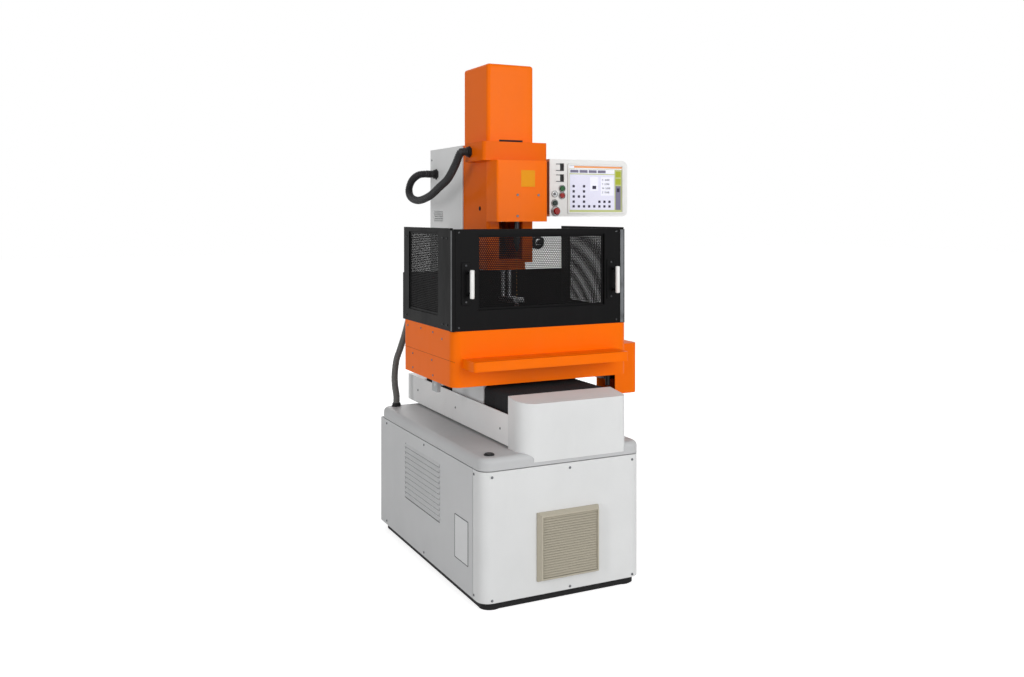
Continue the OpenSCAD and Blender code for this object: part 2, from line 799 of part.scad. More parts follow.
// Control panel: box with a recess for the screen, bores for its buttons and two ports
panel_r = 25;
screen_x = 93;
screen_z = 18;
screen_depth = 6;
screen_t = 3;
button_x = [59, 59, 23.5];
button_z = [117, 88, 56];
key_x = 23.5;
key_z = 94;
key_r = 8;
stop_x = 28;
stop_z = 22;
stem_r = 5;
port_x = 50;
port_w = 19;
port_z = [145, 191];
port_h = 32;
port_depth = 8;
bore_depth = 16;
bezel_t = 2;
bezel_w = 3;
module panel_bore(x, z, r, depth) {
  translate([x, -over, z]) rotate([-90, 0, 0]) cylinder(depth + over, r, r);
}
module panel_housing() {
  color("#f2f2f0") placed() translate([panel_x, panel_y, panel_z]) {
    difference() {
      union() {
        translate([0, panel_t, 0]) rotate([90, 0, 0]) linear_extrude(panel_t) {
          square([panel_w - panel_r, panel_box_h]);
          translate([0, panel_r]) square([panel_w, panel_box_h - 2 * panel_r]);
          for (z = [panel_r, panel_box_h - panel_r]) translate([panel_w - panel_r, z]) circle(panel_r);
        }
        for (i = [0 : 2]) panel_boss(button_x[i], button_z[i], button_r + bezel_w);
        panel_boss(key_x, key_z, key_r + bezel_w);
        panel_boss(stop_x, stop_z, stem_r + bezel_w);
      }
      for (i = [0 : 2]) panel_bore(button_x[i], button_z[i], button_r + run_fit, bore_depth);
      for (i = [0 : 2]) translate([0, -bezel_t, 0])
        panel_bore(button_x[i], button_z[i], button_r + run_fit, bore_depth);
      for (at = [[key_x, key_z, key_r], [stop_x, stop_z, stem_r]]) {
        panel_bore(at[0], at[1], at[2] + run_fit, bore_depth);
        translate([0, -bezel_t, 0]) panel_bore(at[0], at[1], at[2] + run_fit, bore_depth);
      }
      translate([screen_x, -over, screen_z]) cube([screen_w, screen_depth + over, screen_h]);
      for (z = port_z) translate([port_x, -over, z]) cube([port_w, port_depth + over, port_h]);
    }
  }
}
module panel_boss(x, z, r) {
  translate([x, -bezel_t, z]) rotate([-90, 0, 0]) cylinder(bezel_t + over, r, r);
}
module screen() {
  color("#23282e") placed() translate([panel_x + screen_x, panel_y + screen_depth - screen_t, panel_z + screen_z])
    cube([screen_w, screen_t, screen_h]);
}
module panel_ports() {
  color("#202226") placed() for (z = port_z)
    translate([panel_x + port_x, panel_y + bezel_t, panel_z + z])
      difference() {
        cube([port_w, port_depth - bezel_t, port_h]);
        translate([port_w / 4, -over, port_h / 4]) cube([port_w / 2, bezel_t + over, port_h / 2]);
      }
}

// Push buttons, emergency stop and key switch. Each stands out of its bore.
button_out = 7;
button_l = 18;
stop_head_t = 11;
stop_gap = 6;
key_l = 16;
key_bow = [3, 14, 12];
module push_button(x, z) {
  translate([panel_x + x, panel_y - button_out, panel_z + z]) rotate([-90, 0, 0]) {
    cylinder(bezel_t, button_r - bezel_t, button_r);
    translate([0, 0, bezel_t]) cylinder(button_l - bezel_t, button_r, button_r);
  }
}
module green_button() {
  color("#2fa84a") placed() push_button(button_x[0], button_z[0]);
}
module red_button() {
  color("#d1322c") placed() push_button(button_x[1], button_z[1]);
}
module black_button() {
  color("#1b1c1e") placed() push_button(button_x[2], button_z[2]);
}
module stop_button() {
  color("#c9231f") placed()
    translate([panel_x + stop_x, panel_y - bezel_t - stop_gap - stop_head_t, panel_z + stop_z])
      rotate([-90, 0, 0]) {
        cylinder(stop_head_t / 2, stop_r - bezel_w, stop_r);
        translate([0, 0, stop_head_t / 2]) cylinder(stop_head_t / 2, stop_r, stop_r - bezel_t);
        cylinder(stop_head_t + stop_gap + bore_depth / 2, stem_r, stem_r);
      }
}
module key_switch() {
  color("#b9bcbf") placed() translate([panel_x + key_x, panel_y, panel_z + key_z]) {
    rotate([90, 0, 0]) cylinder(bezel_t + over, key_r, key_r);
    rotate([-90, 0, 0]) cylinder(key_l - bezel_t, key_r, key_r);
    translate([-key_bow[0] / 2, -key_bow[1] - bezel_t, -key_bow[2] / 2])
      cube([key_bow[0], key_bow[1] + bezel_t, key_bow[2]]);
  }
}

// Pleated way covers in front of the saddle and behind it
pleat = 20;
pleat_depth = 9;
bellows_t = 3;
bellows_z = 3;
module pleats(y0, y1) {
  n = 2 * round((y1 - y0) / pleat);
  z0 = bed_top + bellows_z;
  z1 = bed_top + bellows_top;
  frame = [for (i = [0 : n]) let (y = y0 + (y1 - y0) * i / n, d = i % 2 == 0 ? 0 : pleat_depth,
      a = saddle_w / 2 - d, b = a - bellows_t)
    each [[-a, y, z0], [-a, y, z1 - d], [a, y, z1 - d], [a, y, z0],
      [b, y, z0], [b, y, z1 - d - bellows_t], [-b, y, z1 - d - bellows_t], [-b, y, z0]]];
  wall = [for (i = [0 : n - 1], k = [0 : 7])
    let (a = 8 * i + k, b = 8 * i + (k + 1) % 8, c = a + 8, d = b + 8)
    each [[a, d, b], [a, c, d]]];
  tip = [[0, 1, 6], [0, 6, 7], [1, 2, 5], [1, 5, 6], [2, 3, 4], [2, 4, 5]];
  tail = [for (f = tip) [f[0], f[2], f[1]] + 8 * n * [1, 1, 1]];
  translate([axis_x, 0, 0]) polyhedron(frame, concat(wall, tip, tail));
}
module bellows() {
  color("#1e1e20") placed() {
    pleats(block_y, saddle_y);
    pleats(saddle_y + saddle_l, column_y - sheet);
  }
}

// Hose from the head's collar round to the gland on the column
hose_start_y = 615;
hose_start_z = 1648;
hose_route = [[-117.9, 615, 1648], [-130, 615, 1648], [-146, 618, 1641], [-160, 640, 1590],
  [-165, 705, 1538],
  [-170, 785, 1506], [-175, 885, 1470], [-180, 1003, 1452], [-182, 1095, 1466],
  [-180, 1131, 1501], [-170, 1122, 1542], [-150, 1092, 1568], [-122, 1076, 1573],
  [-102, 1075, 1573], [-80.5, 1075, 1573]];
module head_hose() {
  color("#2a2a2c") placed() ribbed(hose_route, hose_d, hose_ribs, [0, 0, 1]);
}

// Ballscrews
screw_end = 5;
module y_screw() {
  start = bed_start - plate_t - screw_reach + slide_gap;
  color("#c2c5c8") placed() translate([axis_x, start, y_screw_z]) rotate([-90, 0, 0])
    cylinder(rear_bearing_y + bearing_t - start, screw_r, screw_r);
}
x_screw_y = 440;
hang_t = 14;
hang_w = 52;
table_plate_x0 = tray_x + 7;
x_motor_gap = 12;
module x_screw() {
  start = table_plate_x0;
  stop = tray_x + tray_w + x_motor_gap / 2 + plate_t + screw_reach - slide_gap;
  color("#c2c5c8") placed() translate([start, x_screw_y, saddle_top]) rotate([0, 90, 0])
    cylinder(stop - start, screw_r, screw_r);
}
module w_screw() {
  start = cast_z + screw_end;
  stop = cast_top - motor_l - plate_t + screw_reach + plate_t - slide_gap;
  color("#c2c5c8") placed() translate([axis_x, w_screw_y, start])
    cylinder(stop - start, screw_r, screw_r);
}

// Saddle with its carriages and nuts
carriage_l = 80;
carriage_w = 50;
carriage_clear = 6;
carriage_inset = 50;
x_apart = 110;
x_rail_y = 140;
base_drop = 11;
groove_w = 24;
groove_z = 14;
nut_l = 60;
nut_w = 44;
nut_rise = 18;
table_z = tray_z + base_drop;
x_rail_z = table_z - rail_h;
module saddle() {
  mid = saddle_y + saddle_l / 2;
  color("#aeb2b4") placed() difference() {
    union() {
      difference() {
        union() {
          span([axis_x - saddle_w / 2, saddle_y, saddle_z],
            [axis_x + saddle_w / 2, saddle_y + saddle_l, saddle_top]);
          for (side = [-1, 1], end = [-1, 1]) {
            translate([axis_x + side * x_apart, table_y + end * x_rail_y, saddle_top])
              translate([-carriage_l / 2, -carriage_w / 2, -over])
                cube([carriage_l, carriage_w, table_z - carriage_clear - saddle_top + over]);
            translate([axis_x + side * rail_apart,
              mid + end * (saddle_l / 2 - carriage_inset), bed_top + carriage_clear])
              translate([-carriage_w / 2, -carriage_l / 2, 0])
                cube([carriage_w, carriage_l, saddle_z - bed_top - carriage_clear + over]);
          }
        }
        for (side = [-1, 1]) {
          translate([axis_x + side * rail_apart - rail_w / 2 - slide_gap, saddle_y - over, bed_top - over])
            cube([rail_w + 2 * slide_gap, saddle_l + 2 * over, rail_h + slide_gap + over]);
          translate([axis_x - saddle_w / 2, table_y + side * x_rail_y - rail_w / 2 - slide_gap,
            x_rail_z - slide_gap]) cube([saddle_w, rail_w + 2 * slide_gap, rail_h + slide_gap]);
        }
        translate([axis_x - saddle_w / 2 - over, x_screw_y - groove_w / 2, saddle_top - groove_z])
          cube([saddle_w + 2 * over, groove_w, groove_z + over]);
      }
      translate([axis_x - nut_l / 2, x_screw_y - nut_w / 2, saddle_top - groove_z - over])
        cube([nut_l, nut_w, groove_z + over + nut_rise]);
      translate([axis_x - nut_w / 2, mid - nut_l / 2, y_screw_z - 2 * screw_r])
        cube([nut_w, nut_l, saddle_z - y_screw_z + 2 * screw_r + over]);
    }
    translate([axis_x - nut_l / 2 - over, x_screw_y, saddle_top]) rotate([0, 90, 0])
      cylinder(nut_l + 2 * over, screw_r + run_fit, screw_r + run_fit);
    translate([axis_x, mid - nut_l / 2 - over, y_screw_z]) rotate([-90, 0, 0])
      cylinder(nut_l + 2 * over, screw_r + run_fit, screw_r + run_fit);
  }
}

// Plate under the tray with the pillars of the table and both bearings of the X screw
base_half = 350;
base_l = 360;
base_t = 20;
pillar_r = 22;
pillar_h = 22;
pillar_x = 200;
pillar_y = 130;
table_top_z = table_z + base_t + pillar_h;
tray_end = tray_x + tray_w;
hang_end = tray_end - x_motor_gap / 2;
module hanger(x) {
  inner = x < axis_x ? axis_x - base_half : axis_x + base_half;
  lap = x < axis_x ? hang_t : 0;
  translate([x, x_screw_y - hang_w / 2, saddle_top - hang_w / 2])
    cube([hang_t, hang_w, table_z + base_t - saddle_top + hang_w / 2]);
  span([min(x + lap, inner), x_screw_y - hang_w / 2, table_z],
    [max(x + lap, inner), x_screw_y + hang_w / 2, table_z + base_t]);
}
module table_base() {
  color("#7f8386") placed() difference() {
    union() {
      translate([axis_x - base_half, table_y - base_l / 2, table_z])
        cube([2 * base_half, base_l, base_t]);
      for (x = [-pillar_x, pillar_x], y = [-pillar_y, pillar_y])
        translate([axis_x + x, table_y + y, table_z + base_t - over])
          cylinder(pillar_h + over, pillar_r, pillar_r);
      hanger(table_plate_x0);
      hanger(hang_end - hang_t);
    }
    translate([tray_x, x_screw_y, saddle_top]) rotate([0, 90, 0])
      cylinder(tray_w, screw_r + run_fit, screw_r + run_fit);
  }
}
x_rail_half = 330;
module x_rails() {
  color("#8f9396") placed() for (side = [-1, 1])
    translate([axis_x - x_rail_half, table_y + side * x_rail_y - rail_w / 2, x_rail_z])
      cube([2 * x_rail_half, rail_w, rail_h]);
}

// Splash tray with a rim, a drain and the shelf along its front
rim_w = 15;
floor_z = table_z + base_t;
shelf_shift = 12;
shelf_z = 71;
shelf_r = 12;
drain_r = 10;
drain_bore = 7.5;
drain_x = 14;
drain_y = 128;
drain_l = 95;
pillar_gap = 0.5;
module tray() {
  color("#ff7101") placed() difference() {
    union() {
      difference() {
        translate([tray_x, tray_y, tray_z]) linear_extrude(tray_h) rounded(tray_w, tray_l, tray_r);
        translate([tray_x + sheet, tray_y + sheet, tray_z - over]) linear_extrude(tray_h - sheet + over)
          rounded(tray_w - 2 * sheet, tray_l - 2 * sheet, tray_r - sheet);
        translate([tray_x + rim_w, tray_y + rim_w, tray_z]) linear_extrude(tray_h + over)
          rounded(tray_w - 2 * rim_w, tray_l - 2 * rim_w, tray_r - rim_w);
      }
      translate([tray_x + sheet / 2, tray_y + sheet / 2, floor_z]) linear_extrude(sheet)
        rounded(tray_w - sheet, tray_l - sheet, tray_r - sheet / 2);
      translate([axis_x - shelf_shift - shelf_w / 2, tray_y - shelf_d, tray_z + shelf_z])
        linear_extrude(shelf_h) {
          rounded(shelf_w, shelf_d - shelf_r, shelf_r);
          translate([0, shelf_r]) square([shelf_w, shelf_d - shelf_r + sheet / 2]);
        }
    }
    for (x = [-pillar_x, pillar_x], y = [-pillar_y, pillar_y])
      translate([axis_x + x, table_y + y, floor_z - over])
        cylinder(sheet + 2 * over, pillar_r + pillar_gap, pillar_r + pillar_gap);
    translate([tray_end - drain_x, tray_y + drain_y, floor_z - over])
      cylinder(sheet + 2 * over, drain_bore, drain_bore);
  }
}
module drain_hose() {
  color("#1b1b1d") placed() translate([tray_end - drain_x, tray_y + drain_y, floor_z - drain_l])
    ring(drain_r, drain_bore, drain_l);
}

// Sheet cover on the tray's right side, and the motor in it
side_box_w = 112;
side_box_l = 147;
side_box_h = 205;
side_box_y = 93;
side_box_z = 97;
side_box_r = 28;
module side_box(inset) {
  translate([tray_end - side_box_r, tray_y + side_box_y + inset, tray_z - side_box_z + inset])
    linear_extrude(side_box_h - 2 * inset)
      rounded(side_box_w + side_box_r - inset, side_box_l - 2 * inset, side_box_r - inset);
}
module x_motor_cover() {
  y = tray_y + side_box_y - over;
  color("#f26a12") placed() difference() {
    side_box(0);
    side_box(sheet);
    span([tray_end - side_box_r - over, y, tray_z - side_box_z - over],
      [tray_end, y + side_box_l + 2 * over, tray_top]);
  }
}
module x_motor() {
  color("#2b2d30") placed() translate([tray_end + x_motor_gap / 2, x_screw_y, saddle_top])
    rotate([0, -90, 0]) motor(motor_w, x_motor_gap);
}

// Clamping table with undercut slots and tapped holes
slot_n = 3;
slot_neck = 16;
slot_under = 9;
slot_flare = 5;
module table_top() {
  color("#a5a8aa") placed() translate([axis_x, table_y, table_top_z]) difference() {
    translate([-table_w / 2, -table_l / 2, 0]) cube([table_w, table_l, table_t]);
    for (i = [0 : slot_n - 1]) translate([-table_w / 2 - over, (i - (slot_n - 1) / 2) * slot_pitch, table_t]) {
      translate([0, -slot_w / 2, -slot_neck]) cube([table_w + 2 * over, slot_w, slot_neck + over]);
      translate([0, -slot_w / 2 - slot_flare, -slot_neck - slot_under])
        cube([table_w + 2 * over, slot_w + 2 * slot_flare, slot_under]);
    }
    for (x = [-hole_pitch_x / 2, hole_pitch_x / 2], y = [-hole_pitch_y / 2, hole_pitch_y / 2])
      translate([x, y, -over]) cylinder(table_t + 2 * over, hole_r, hole_r);
  }
}

// Standing part of the guard: side walls with windows, back wall and perforated sheets
post_d = 28;
side_y = tray_y + post_d;
side_l = tray_l - post_d - wall_t;
window_y = 120;
window_z = 48;
module at_side_windows(t) {
  for (x = [tray_x, tray_end - wall_t])
    translate([x + (wall_t - t) / 2, side_y + window_y, tray_top + window_z])
      cube([t, side_window_l, side_window_h]);
}
module side_walls() {
  color("#1d1d1f") placed() difference() {
    for (x = [tray_x, tray_end - wall_t]) translate([x, side_y, tray_top])
      cube([wall_t, side_l, guard_h]);
    at_side_windows(wall_t + 2 * over);
  }
}
module wall_meshes() {
  color("#8a8a88") placed() at_side_windows(mesh_t);
}
module back_wall() {
  color("#1d1d1f") placed() translate([tray_x, tray_back - wall_t, tray_top])
    cube([tray_w, wall_t, back_wall_h]);
}

// Guides in which the front guard slides
post_out = 3;
post_w = 12;
post_right_w = 24;
post_drop = 7;
lip_w = 10;
lip_t = 4;
guard_gap = 1;
front_d = 22;
front_x = tray_x - post_out + post_w + guard_gap;
module corner_guides() {
  h = guard_h - post_drop;
  right = front_x + front_w + guard_gap;
  color("#c5c7c9") placed() {
    span([tray_x - post_out, tray_y, tray_top], [tray_x - post_out + post_w, side_y, tray_top + h]);
    span([tray_x - post_out, side_y - lip_t, tray_top], [tray_x - post_out + post_w + lip_w, side_y, tray_top + h]);
    span([right, tray_y, tray_top], [right + post_right_w, side_y, tray_top + h]);
    span([right - lip_w, side_y - lip_t, tray_top], [tray_end - wall_t, side_y, tray_top + h]);
  }
}

// Front guard that lifts, with its perforated sheet and handles
front_top_gap = 4;
front_h = guard_h - front_top_gap;
front_window_z = front_h - top_rail_h - front_window_h;
front_window_x = 91;
module front_guard() {
  color("#1d1d1f") placed() translate([front_x, tray_y, tray_top + slide_gap]) difference() {
    cube([front_w, front_d, front_h]);
    translate([front_window_x, -over, front_window_z])
      cube([front_window_w, front_d + 2 * over, front_window_h]);
  }
}
module guard_mesh() {
  color("#8a8a88") placed()
    translate([front_x + front_window_x, tray_y + (front_d - mesh_t) / 2, tray_top + slide_gap + front_window_z])
      cube([front_window_w, mesh_t, front_window_h]);
}
handle_w = 24;
handle_t = 10;
handle_x = 41;
handle_z = 123;
handle_foot = 12;
handle_plate_w = 38;
handle_plate_h = 160;
handle_plate_t = 4;
module guard_handles() {
  z = tray_top + slide_gap + handle_z;
  color("#f0f0ee") placed() for (x = [front_x + handle_x, front_x + front_w - handle_x]) {
    translate([x - handle_plate_w / 2, tray_y - handle_plate_t, z + handle_l / 2 - handle_plate_h / 2])
      cube([handle_plate_w, handle_plate_t, handle_plate_h]);
    translate([x - handle_w / 2, tray_y, z]) rotate([90, 0, 90]) linear_extrude(handle_w)
      difference() {
        translate([-handle_reach, 0]) rounded(handle_reach, handle_l, handle_t / 2);
        translate([handle_t - handle_reach, handle_foot])
          square([handle_reach - handle_t + over, handle_l - 2 * handle_foot]);
      }
  }
}

// Head housing with the carriages of the W axis behind it and its nut
body_wall = 14;
back_plate = 8;
w_carriage_z = [10, 185];
w_nut_z = 140;
w_nut_h = 40;
w_nut_w = 50;
way_z = 9;
w_carriage_w = 44;
head_foot_w = 172;
body_back = cast_y - rail_h - carriage_lift;
z_screw_y = head_y + 120;
module head_body() {
  x1 = head_x + head_w;
  h = collar_top - body_z;
  color("#d9611f") placed() difference() {
    union() {
      difference() {
        union() {
          translate([head_x, head_y, body_z]) linear_extrude(h) {
            rounded(head_w, head_d, head_r);
            translate([0, head_d / 2]) square([head_w, head_d / 2]);
          }
          span([head_x, head_y, head_z], [head_x + head_foot_w, body_back, body_z + over]);
        }
        span([head_x + body_wall, head_y + body_wall, body_z + body_wall],
          [x1 - body_wall, body_back - back_plate, collar_top - body_wall]);
        span([head_x + body_wall, body_back, head_z - over],
          [x1 - body_wall, head_back + over, collar_top + over]);
        span([axis_x - way_w / 2, head_y - over, body_z + way_z],
          [axis_x + way_w / 2, head_y + body_wall + over, collar_z]);
      }
      for (side = [-1, 1], z = w_carriage_z)
        translate([axis_x + side * w_apart - w_carriage_w / 2, body_back - over, body_z + z])
          cube([w_carriage_w, rail_h + carriage_lift - carriage_clear + over, carriage_l]);
      translate([axis_x - w_nut_w / 2, body_back - over, body_z + w_nut_z])
        cube([w_nut_w, w_screw_y - body_back + w_nut_w / 2 + over, w_nut_h]);
    }
    for (side = [-1, 1])
      translate([axis_x + side * w_apart - rail_w / 2 - slide_gap, cast_y - rail_h - slide_gap, body_z])
        cube([rail_w + 2 * slide_gap, rail_h + 2 * slide_gap, h]);
    translate([axis_x, w_screw_y, body_z + w_nut_z - over])
      cylinder(w_nut_h + 2 * over, screw_r + run_fit, screw_r + run_fit);
    translate([axis_x, z_screw_y, body_z + over])
      cylinder(h, screw_r + run_fit, screw_r + run_fit);
  }
}

// Collar round the top of the housing and the cover above it
collar_y = head_y - collar_out;
module head_collar() {
  color("#ee7a30") placed() translate([0, 0, collar_z]) linear_extrude(collar_h) difference() {
    translate([axis_x - collar_w / 2, collar_y]) rounded(collar_w, collar_d, head_r);
    translate([head_x, head_y]) {
      rounded(head_w, head_d, head_r);
      translate([0, head_d / 2]) square([head_w, head_d / 2]);
    }
  }
}
cover_edge = 12;
cover_slot = 5;
module upper_cover() {
  color("#ee6c1a") placed() difference() {
    translate([head_x, head_y, collar_top]) hood(head_w, head_d, cover_h, head_r, cover_edge, sheet);
    translate([axis_x - way_w / 2, head_y - over, collar_top - over])
      cube([way_w, sheet + 2 * over, cover_slot + over]);
  }
}

// Rails, motor and screw of the Z axis
z_rail_inset = 12;
module z_rails() {
  z = body_z + body_wall;
  color("#8f9396") placed() for (side = [-1, 1])
    translate([axis_x + side * w_apart - rail_w / 2, body_back - back_plate - rail_h, z + z_rail_inset])
      cube([rail_w, rail_h, collar_top - z - body_wall - 2 * z_rail_inset]);
}
module z_motor() {
  color("#2b2d30") placed() translate([axis_x, z_screw_y, collar_top]) rotate([180, 0, 0])
    motor(plate_w, 0);
}
module z_screw() {
  start = body_z + over + slide_gap;
  stop = collar_top + plate_t + screw_reach - slide_gap;
  color("#c2c5c8") placed() translate([axis_x, z_screw_y, start])
    cylinder(stop - start, screw_r, screw_r);
}

// Rods and arm that hold the electrode guide
rod_apart = 14;
rod_back = 46;
rod_l = 120;
arm_half = 26;
arm_h = 20;
arm_drop = 12;
guide_r = 9;
guide_l = 44;
guide_tip = 12;
module guide_arm() {
  y = head_y + rod_back;
  z = head_z - rod_l;
  color("#b7b9bb") placed() {
    for (side = [-rod_apart, rod_apart]) translate([axis_x + side, y, z - arm_drop])
      cylinder(rod_l + arm_drop, rod_r, rod_r);
    difference() {
      span([axis_x - arm_half, spindle_y - 2 * guide_r, z - arm_drop],
        [axis_x + arm_half, y + 2 * rod_r, z - arm_drop + arm_h]);
      translate([axis_x, spindle_y, z - arm_drop - over])
        cylinder(arm_h + 2 * over, guide_r, guide_r);
    }
  }
}
module electrode_guide() {
  z = head_z - rod_l - arm_drop + arm_h;
  color("#8c8f91") placed() translate([axis_x, spindle_y, z - guide_l]) difference() {
    union() {
      translate([0, 0, guide_tip]) cylinder(guide_l - guide_tip, guide_r, guide_r);
      cylinder(guide_tip, guide_r / 2, guide_r);
    }
    translate([0, 0, -over])
      cylinder(guide_l + 2 * over, electrode_r + run_fit, electrode_r + run_fit);
  }
}

// Flushing hose fitting on the right of the housing and the hose's gland on the collar's left
fitting_r = 27;
fitting_l = 44;
fitting_z = 81;
fitting_y = 8;
fitting_small = 9;
module hose_fittings() {
  color("#18181a") placed() {
    translate([head_x + head_w + fitting_r, head_y + fitting_y, body_z + fitting_z]) rotate([-90, 0, 0]) {
      cylinder(fitting_l, fitting_r, fitting_r);
      translate([0, 0, -fitting_small]) cylinder(fitting_small + over, fitting_small, fitting_small);
      translate([0, 0, fitting_l - over]) cylinder(fitting_small + over, fitting_small, fitting_small, $fn = 6);
    }
    translate([axis_x - collar_w / 2, hose_start_y, hose_start_z]) rotate([0, -90, 0]) gland(hose_d);
  }
}

// Carriage of the Z axis with the spindle's housing
quill_h = 170;
quill_w = 168;
quill_arm_w = 80;
quill_arm_z = 60;
quill_arm_h = 100;
nose_r = 34;
nose_z = 8;
nose_h = 200;
spindle_l = 60;
box_gap = 0.5;
box_z = collar_z - box_h - box_gap;
box_x = axis_x - box_w / 2;
box_y = head_y - box_d;
module z_carriage() {
  y1 = body_back - back_plate - carriage_clear;
  z = box_z + sheet + nose_z;
  slab_y = y1 - rail_h - carriage_lift + carriage_clear;
  color("#9b9ea1") placed() difference() {
    union() {
      span([axis_x - quill_w / 2, slab_y, z], [axis_x + quill_w / 2, y1, z + quill_h]);
      span([axis_x - quill_arm_w / 2, box_y + sheet, z + quill_arm_z],
        [axis_x + quill_arm_w / 2, slab_y + over, z + quill_arm_z + quill_arm_h]);
      translate([axis_x, spindle_y, z]) cylinder(nose_h, nose_r, nose_r);
    }
    for (side = [-1, 1])
      translate([axis_x + side * w_apart - rail_w / 2 - slide_gap,
        body_back - back_plate - rail_h - slide_gap, z - over])
        cube([rail_w + 2 * slide_gap, rail_h + 2 * slide_gap, quill_h + 2 * over]);
    translate([axis_x, z_screw_y, z - over])
      cylinder(nose_h + 2 * over, screw_r + run_fit, screw_r + run_fit);
    translate([axis_x, spindle_y, z - over])
      cylinder(spindle_l + over, chuck_r + run_fit, chuck_r + run_fit);
  }
}
module spindle_cover() {
  color("#f26a12") placed() translate([box_x, box_y, box_z]) difference() {
    linear_extrude(box_h) rounded(box_w, box_d - box_gap, head_r / 2);
    translate([sheet, sheet, sheet]) cube([box_w - 2 * sheet, box_d, box_h - 2 * sheet]);
    translate([box_w / 2, box_d / 2, -over]) cylinder(sheet + 2 * over, chuck_r + sheet, chuck_r + sheet);
  }
}

// Chuck and tube electrode
chuck_nut_r = 13;
chuck_nut_z = 30;
chuck_nut_h = 26;
chuck_cone = 18;
chuck_tip_r = 4;
grip = 15;
electrode_l = 250;
module chuck() {
  z = box_z - chuck_l;
  color("#8b8e90") placed() translate([axis_x, spindle_y, z]) difference() {
    union() {
      cylinder(chuck_cone, chuck_tip_r, chuck_r);
      translate([0, 0, chuck_cone])
        cylinder(chuck_l + sheet + nose_z + spindle_l - chuck_cone - slide_gap, chuck_r, chuck_r);
      translate([0, 0, chuck_nut_z]) cylinder(chuck_nut_h, chuck_nut_r, chuck_nut_r);
    }
    translate([0, 0, -over]) cylinder(grip + over, electrode_r, electrode_r);
  }
}
module electrode() {
  z = box_z - chuck_l + grip;
  color("#c08a3e") placed() translate([axis_x, spindle_y, z - electrode_l])
    cylinder(electrode_l, electrode_r, electrode_r);
}

// Middle of the plan, over which everything is moved
mid_x = (tray_x - post_out + panel_x + panel_w) / 2;
mid_y = (bed_end - grille_t) / 2;

feet();
stand();
front_panel();
side_panels();
rear_panel();
lid();
cable_glands();
conduit();
filter_grille();
bed();
bed_covers();
front_block();
base_rails();
base_motors();
column();
column_cover();
panel_arm();
panel_housing();
screen();
panel_ports();
bellows();
head_hose();
y_screw();
x_screw();
w_screw();
z_screw();
saddle();
table_base();
x_rails();
tray();
x_motor_cover();
x_motor();
drain_hose();
table_top();
side_walls();
back_wall();
wall_meshes();
corner_guides();
front_guard();
guard_mesh();
guard_handles();
head_body();
head_collar();
upper_cover();
z_rails();
z_motor();
guide_arm();
electrode_guide();
hose_fittings();
z_carriage();
spindle_cover();
chuck();
electrode();
green_button();
red_button();
black_button();
stop_button();
key_switch();
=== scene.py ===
import math

import bpy
import numpy as np
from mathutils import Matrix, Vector


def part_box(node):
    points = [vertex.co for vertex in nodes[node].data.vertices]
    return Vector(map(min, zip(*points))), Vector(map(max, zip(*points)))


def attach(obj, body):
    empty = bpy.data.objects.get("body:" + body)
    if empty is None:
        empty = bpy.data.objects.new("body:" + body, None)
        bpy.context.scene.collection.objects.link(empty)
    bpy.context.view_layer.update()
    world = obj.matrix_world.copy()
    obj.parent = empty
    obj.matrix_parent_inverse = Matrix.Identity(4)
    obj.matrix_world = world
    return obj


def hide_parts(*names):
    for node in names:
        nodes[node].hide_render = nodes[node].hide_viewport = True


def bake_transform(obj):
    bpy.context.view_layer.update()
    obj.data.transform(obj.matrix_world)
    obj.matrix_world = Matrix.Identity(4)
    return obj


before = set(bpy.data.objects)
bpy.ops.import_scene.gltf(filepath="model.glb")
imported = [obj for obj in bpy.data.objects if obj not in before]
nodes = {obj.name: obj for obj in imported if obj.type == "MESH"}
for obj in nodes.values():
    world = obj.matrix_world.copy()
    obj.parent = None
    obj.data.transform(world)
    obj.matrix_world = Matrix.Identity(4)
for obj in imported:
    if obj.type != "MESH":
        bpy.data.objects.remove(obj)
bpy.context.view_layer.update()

# The frame's zero stands under the machine's middle, and the numbers below are
# millimetres on the machine: x to the right, y to the back, z from the floor
machineZero = np.array([126.0, 564.0, 0.0])
mm = 0.001
sharpFrom = math.radians(38)  # edges of smooth pieces stay sharp from this angle on


def place(points):
    # (p - zero) / 1000 turns machine millimetres into metres in the frame
    return (np.asarray(points, float).reshape(-1, 3) - machineZero) * mm


def edges(node):
    # Lowest and highest corner of a CAD node, in machine millimetres
    low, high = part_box(node)
    return np.array(low) / mm + machineZero, np.array(high) / mm + machineZero


def sized(node):
    # Size and middle of a CAD node
    low, high = edges(node)
    return high - low, (low + high) / 2


def spanned(ends):
    # Length and middle of a stretch
    return ends[1] - ends[0], sum(ends) / 2


# Right, up and outward directions of a face that looks that way
facing = {
    "front": ((1, 0, 0), (0, 0, 1), (0, -1, 0)),
    "back": ((-1, 0, 0), (0, 0, 1), (0, 1, 0)),
    "left": ((0, -1, 0), (0, 0, 1), (-1, 0, 0)),
    "right": ((0, 1, 0), (0, 0, 1), (1, 0, 0)),
    "up": ((1, 0, 0), (0, 1, 0), (0, 0, 1)),
}


def onFace(shape, at, side):
    # point = at + u * right + v * up + w * outward, for each (u, v, w) of the shape
    points, faces = shape
    return np.asarray(points, float) @ np.array(facing[side], float) + np.array(at, float), faces


def moved(shape, by):
    return np.asarray(shape[0], float) + np.array(by, float), shape[1]


def together(shapes):
    # Several shapes as one: each one's face numbers start after the points before it
    points, faces, start = [], [], 0
    for some, turns in shapes:
        points.append(some)
        faces += [[k + start for k in face] for face in turns]
        start += len(some)
    return np.vstack(points), faces


def added(name, data):
    made = bpy.data.objects.new(name, data)
    bpy.context.scene.collection.objects.link(made)
    return made


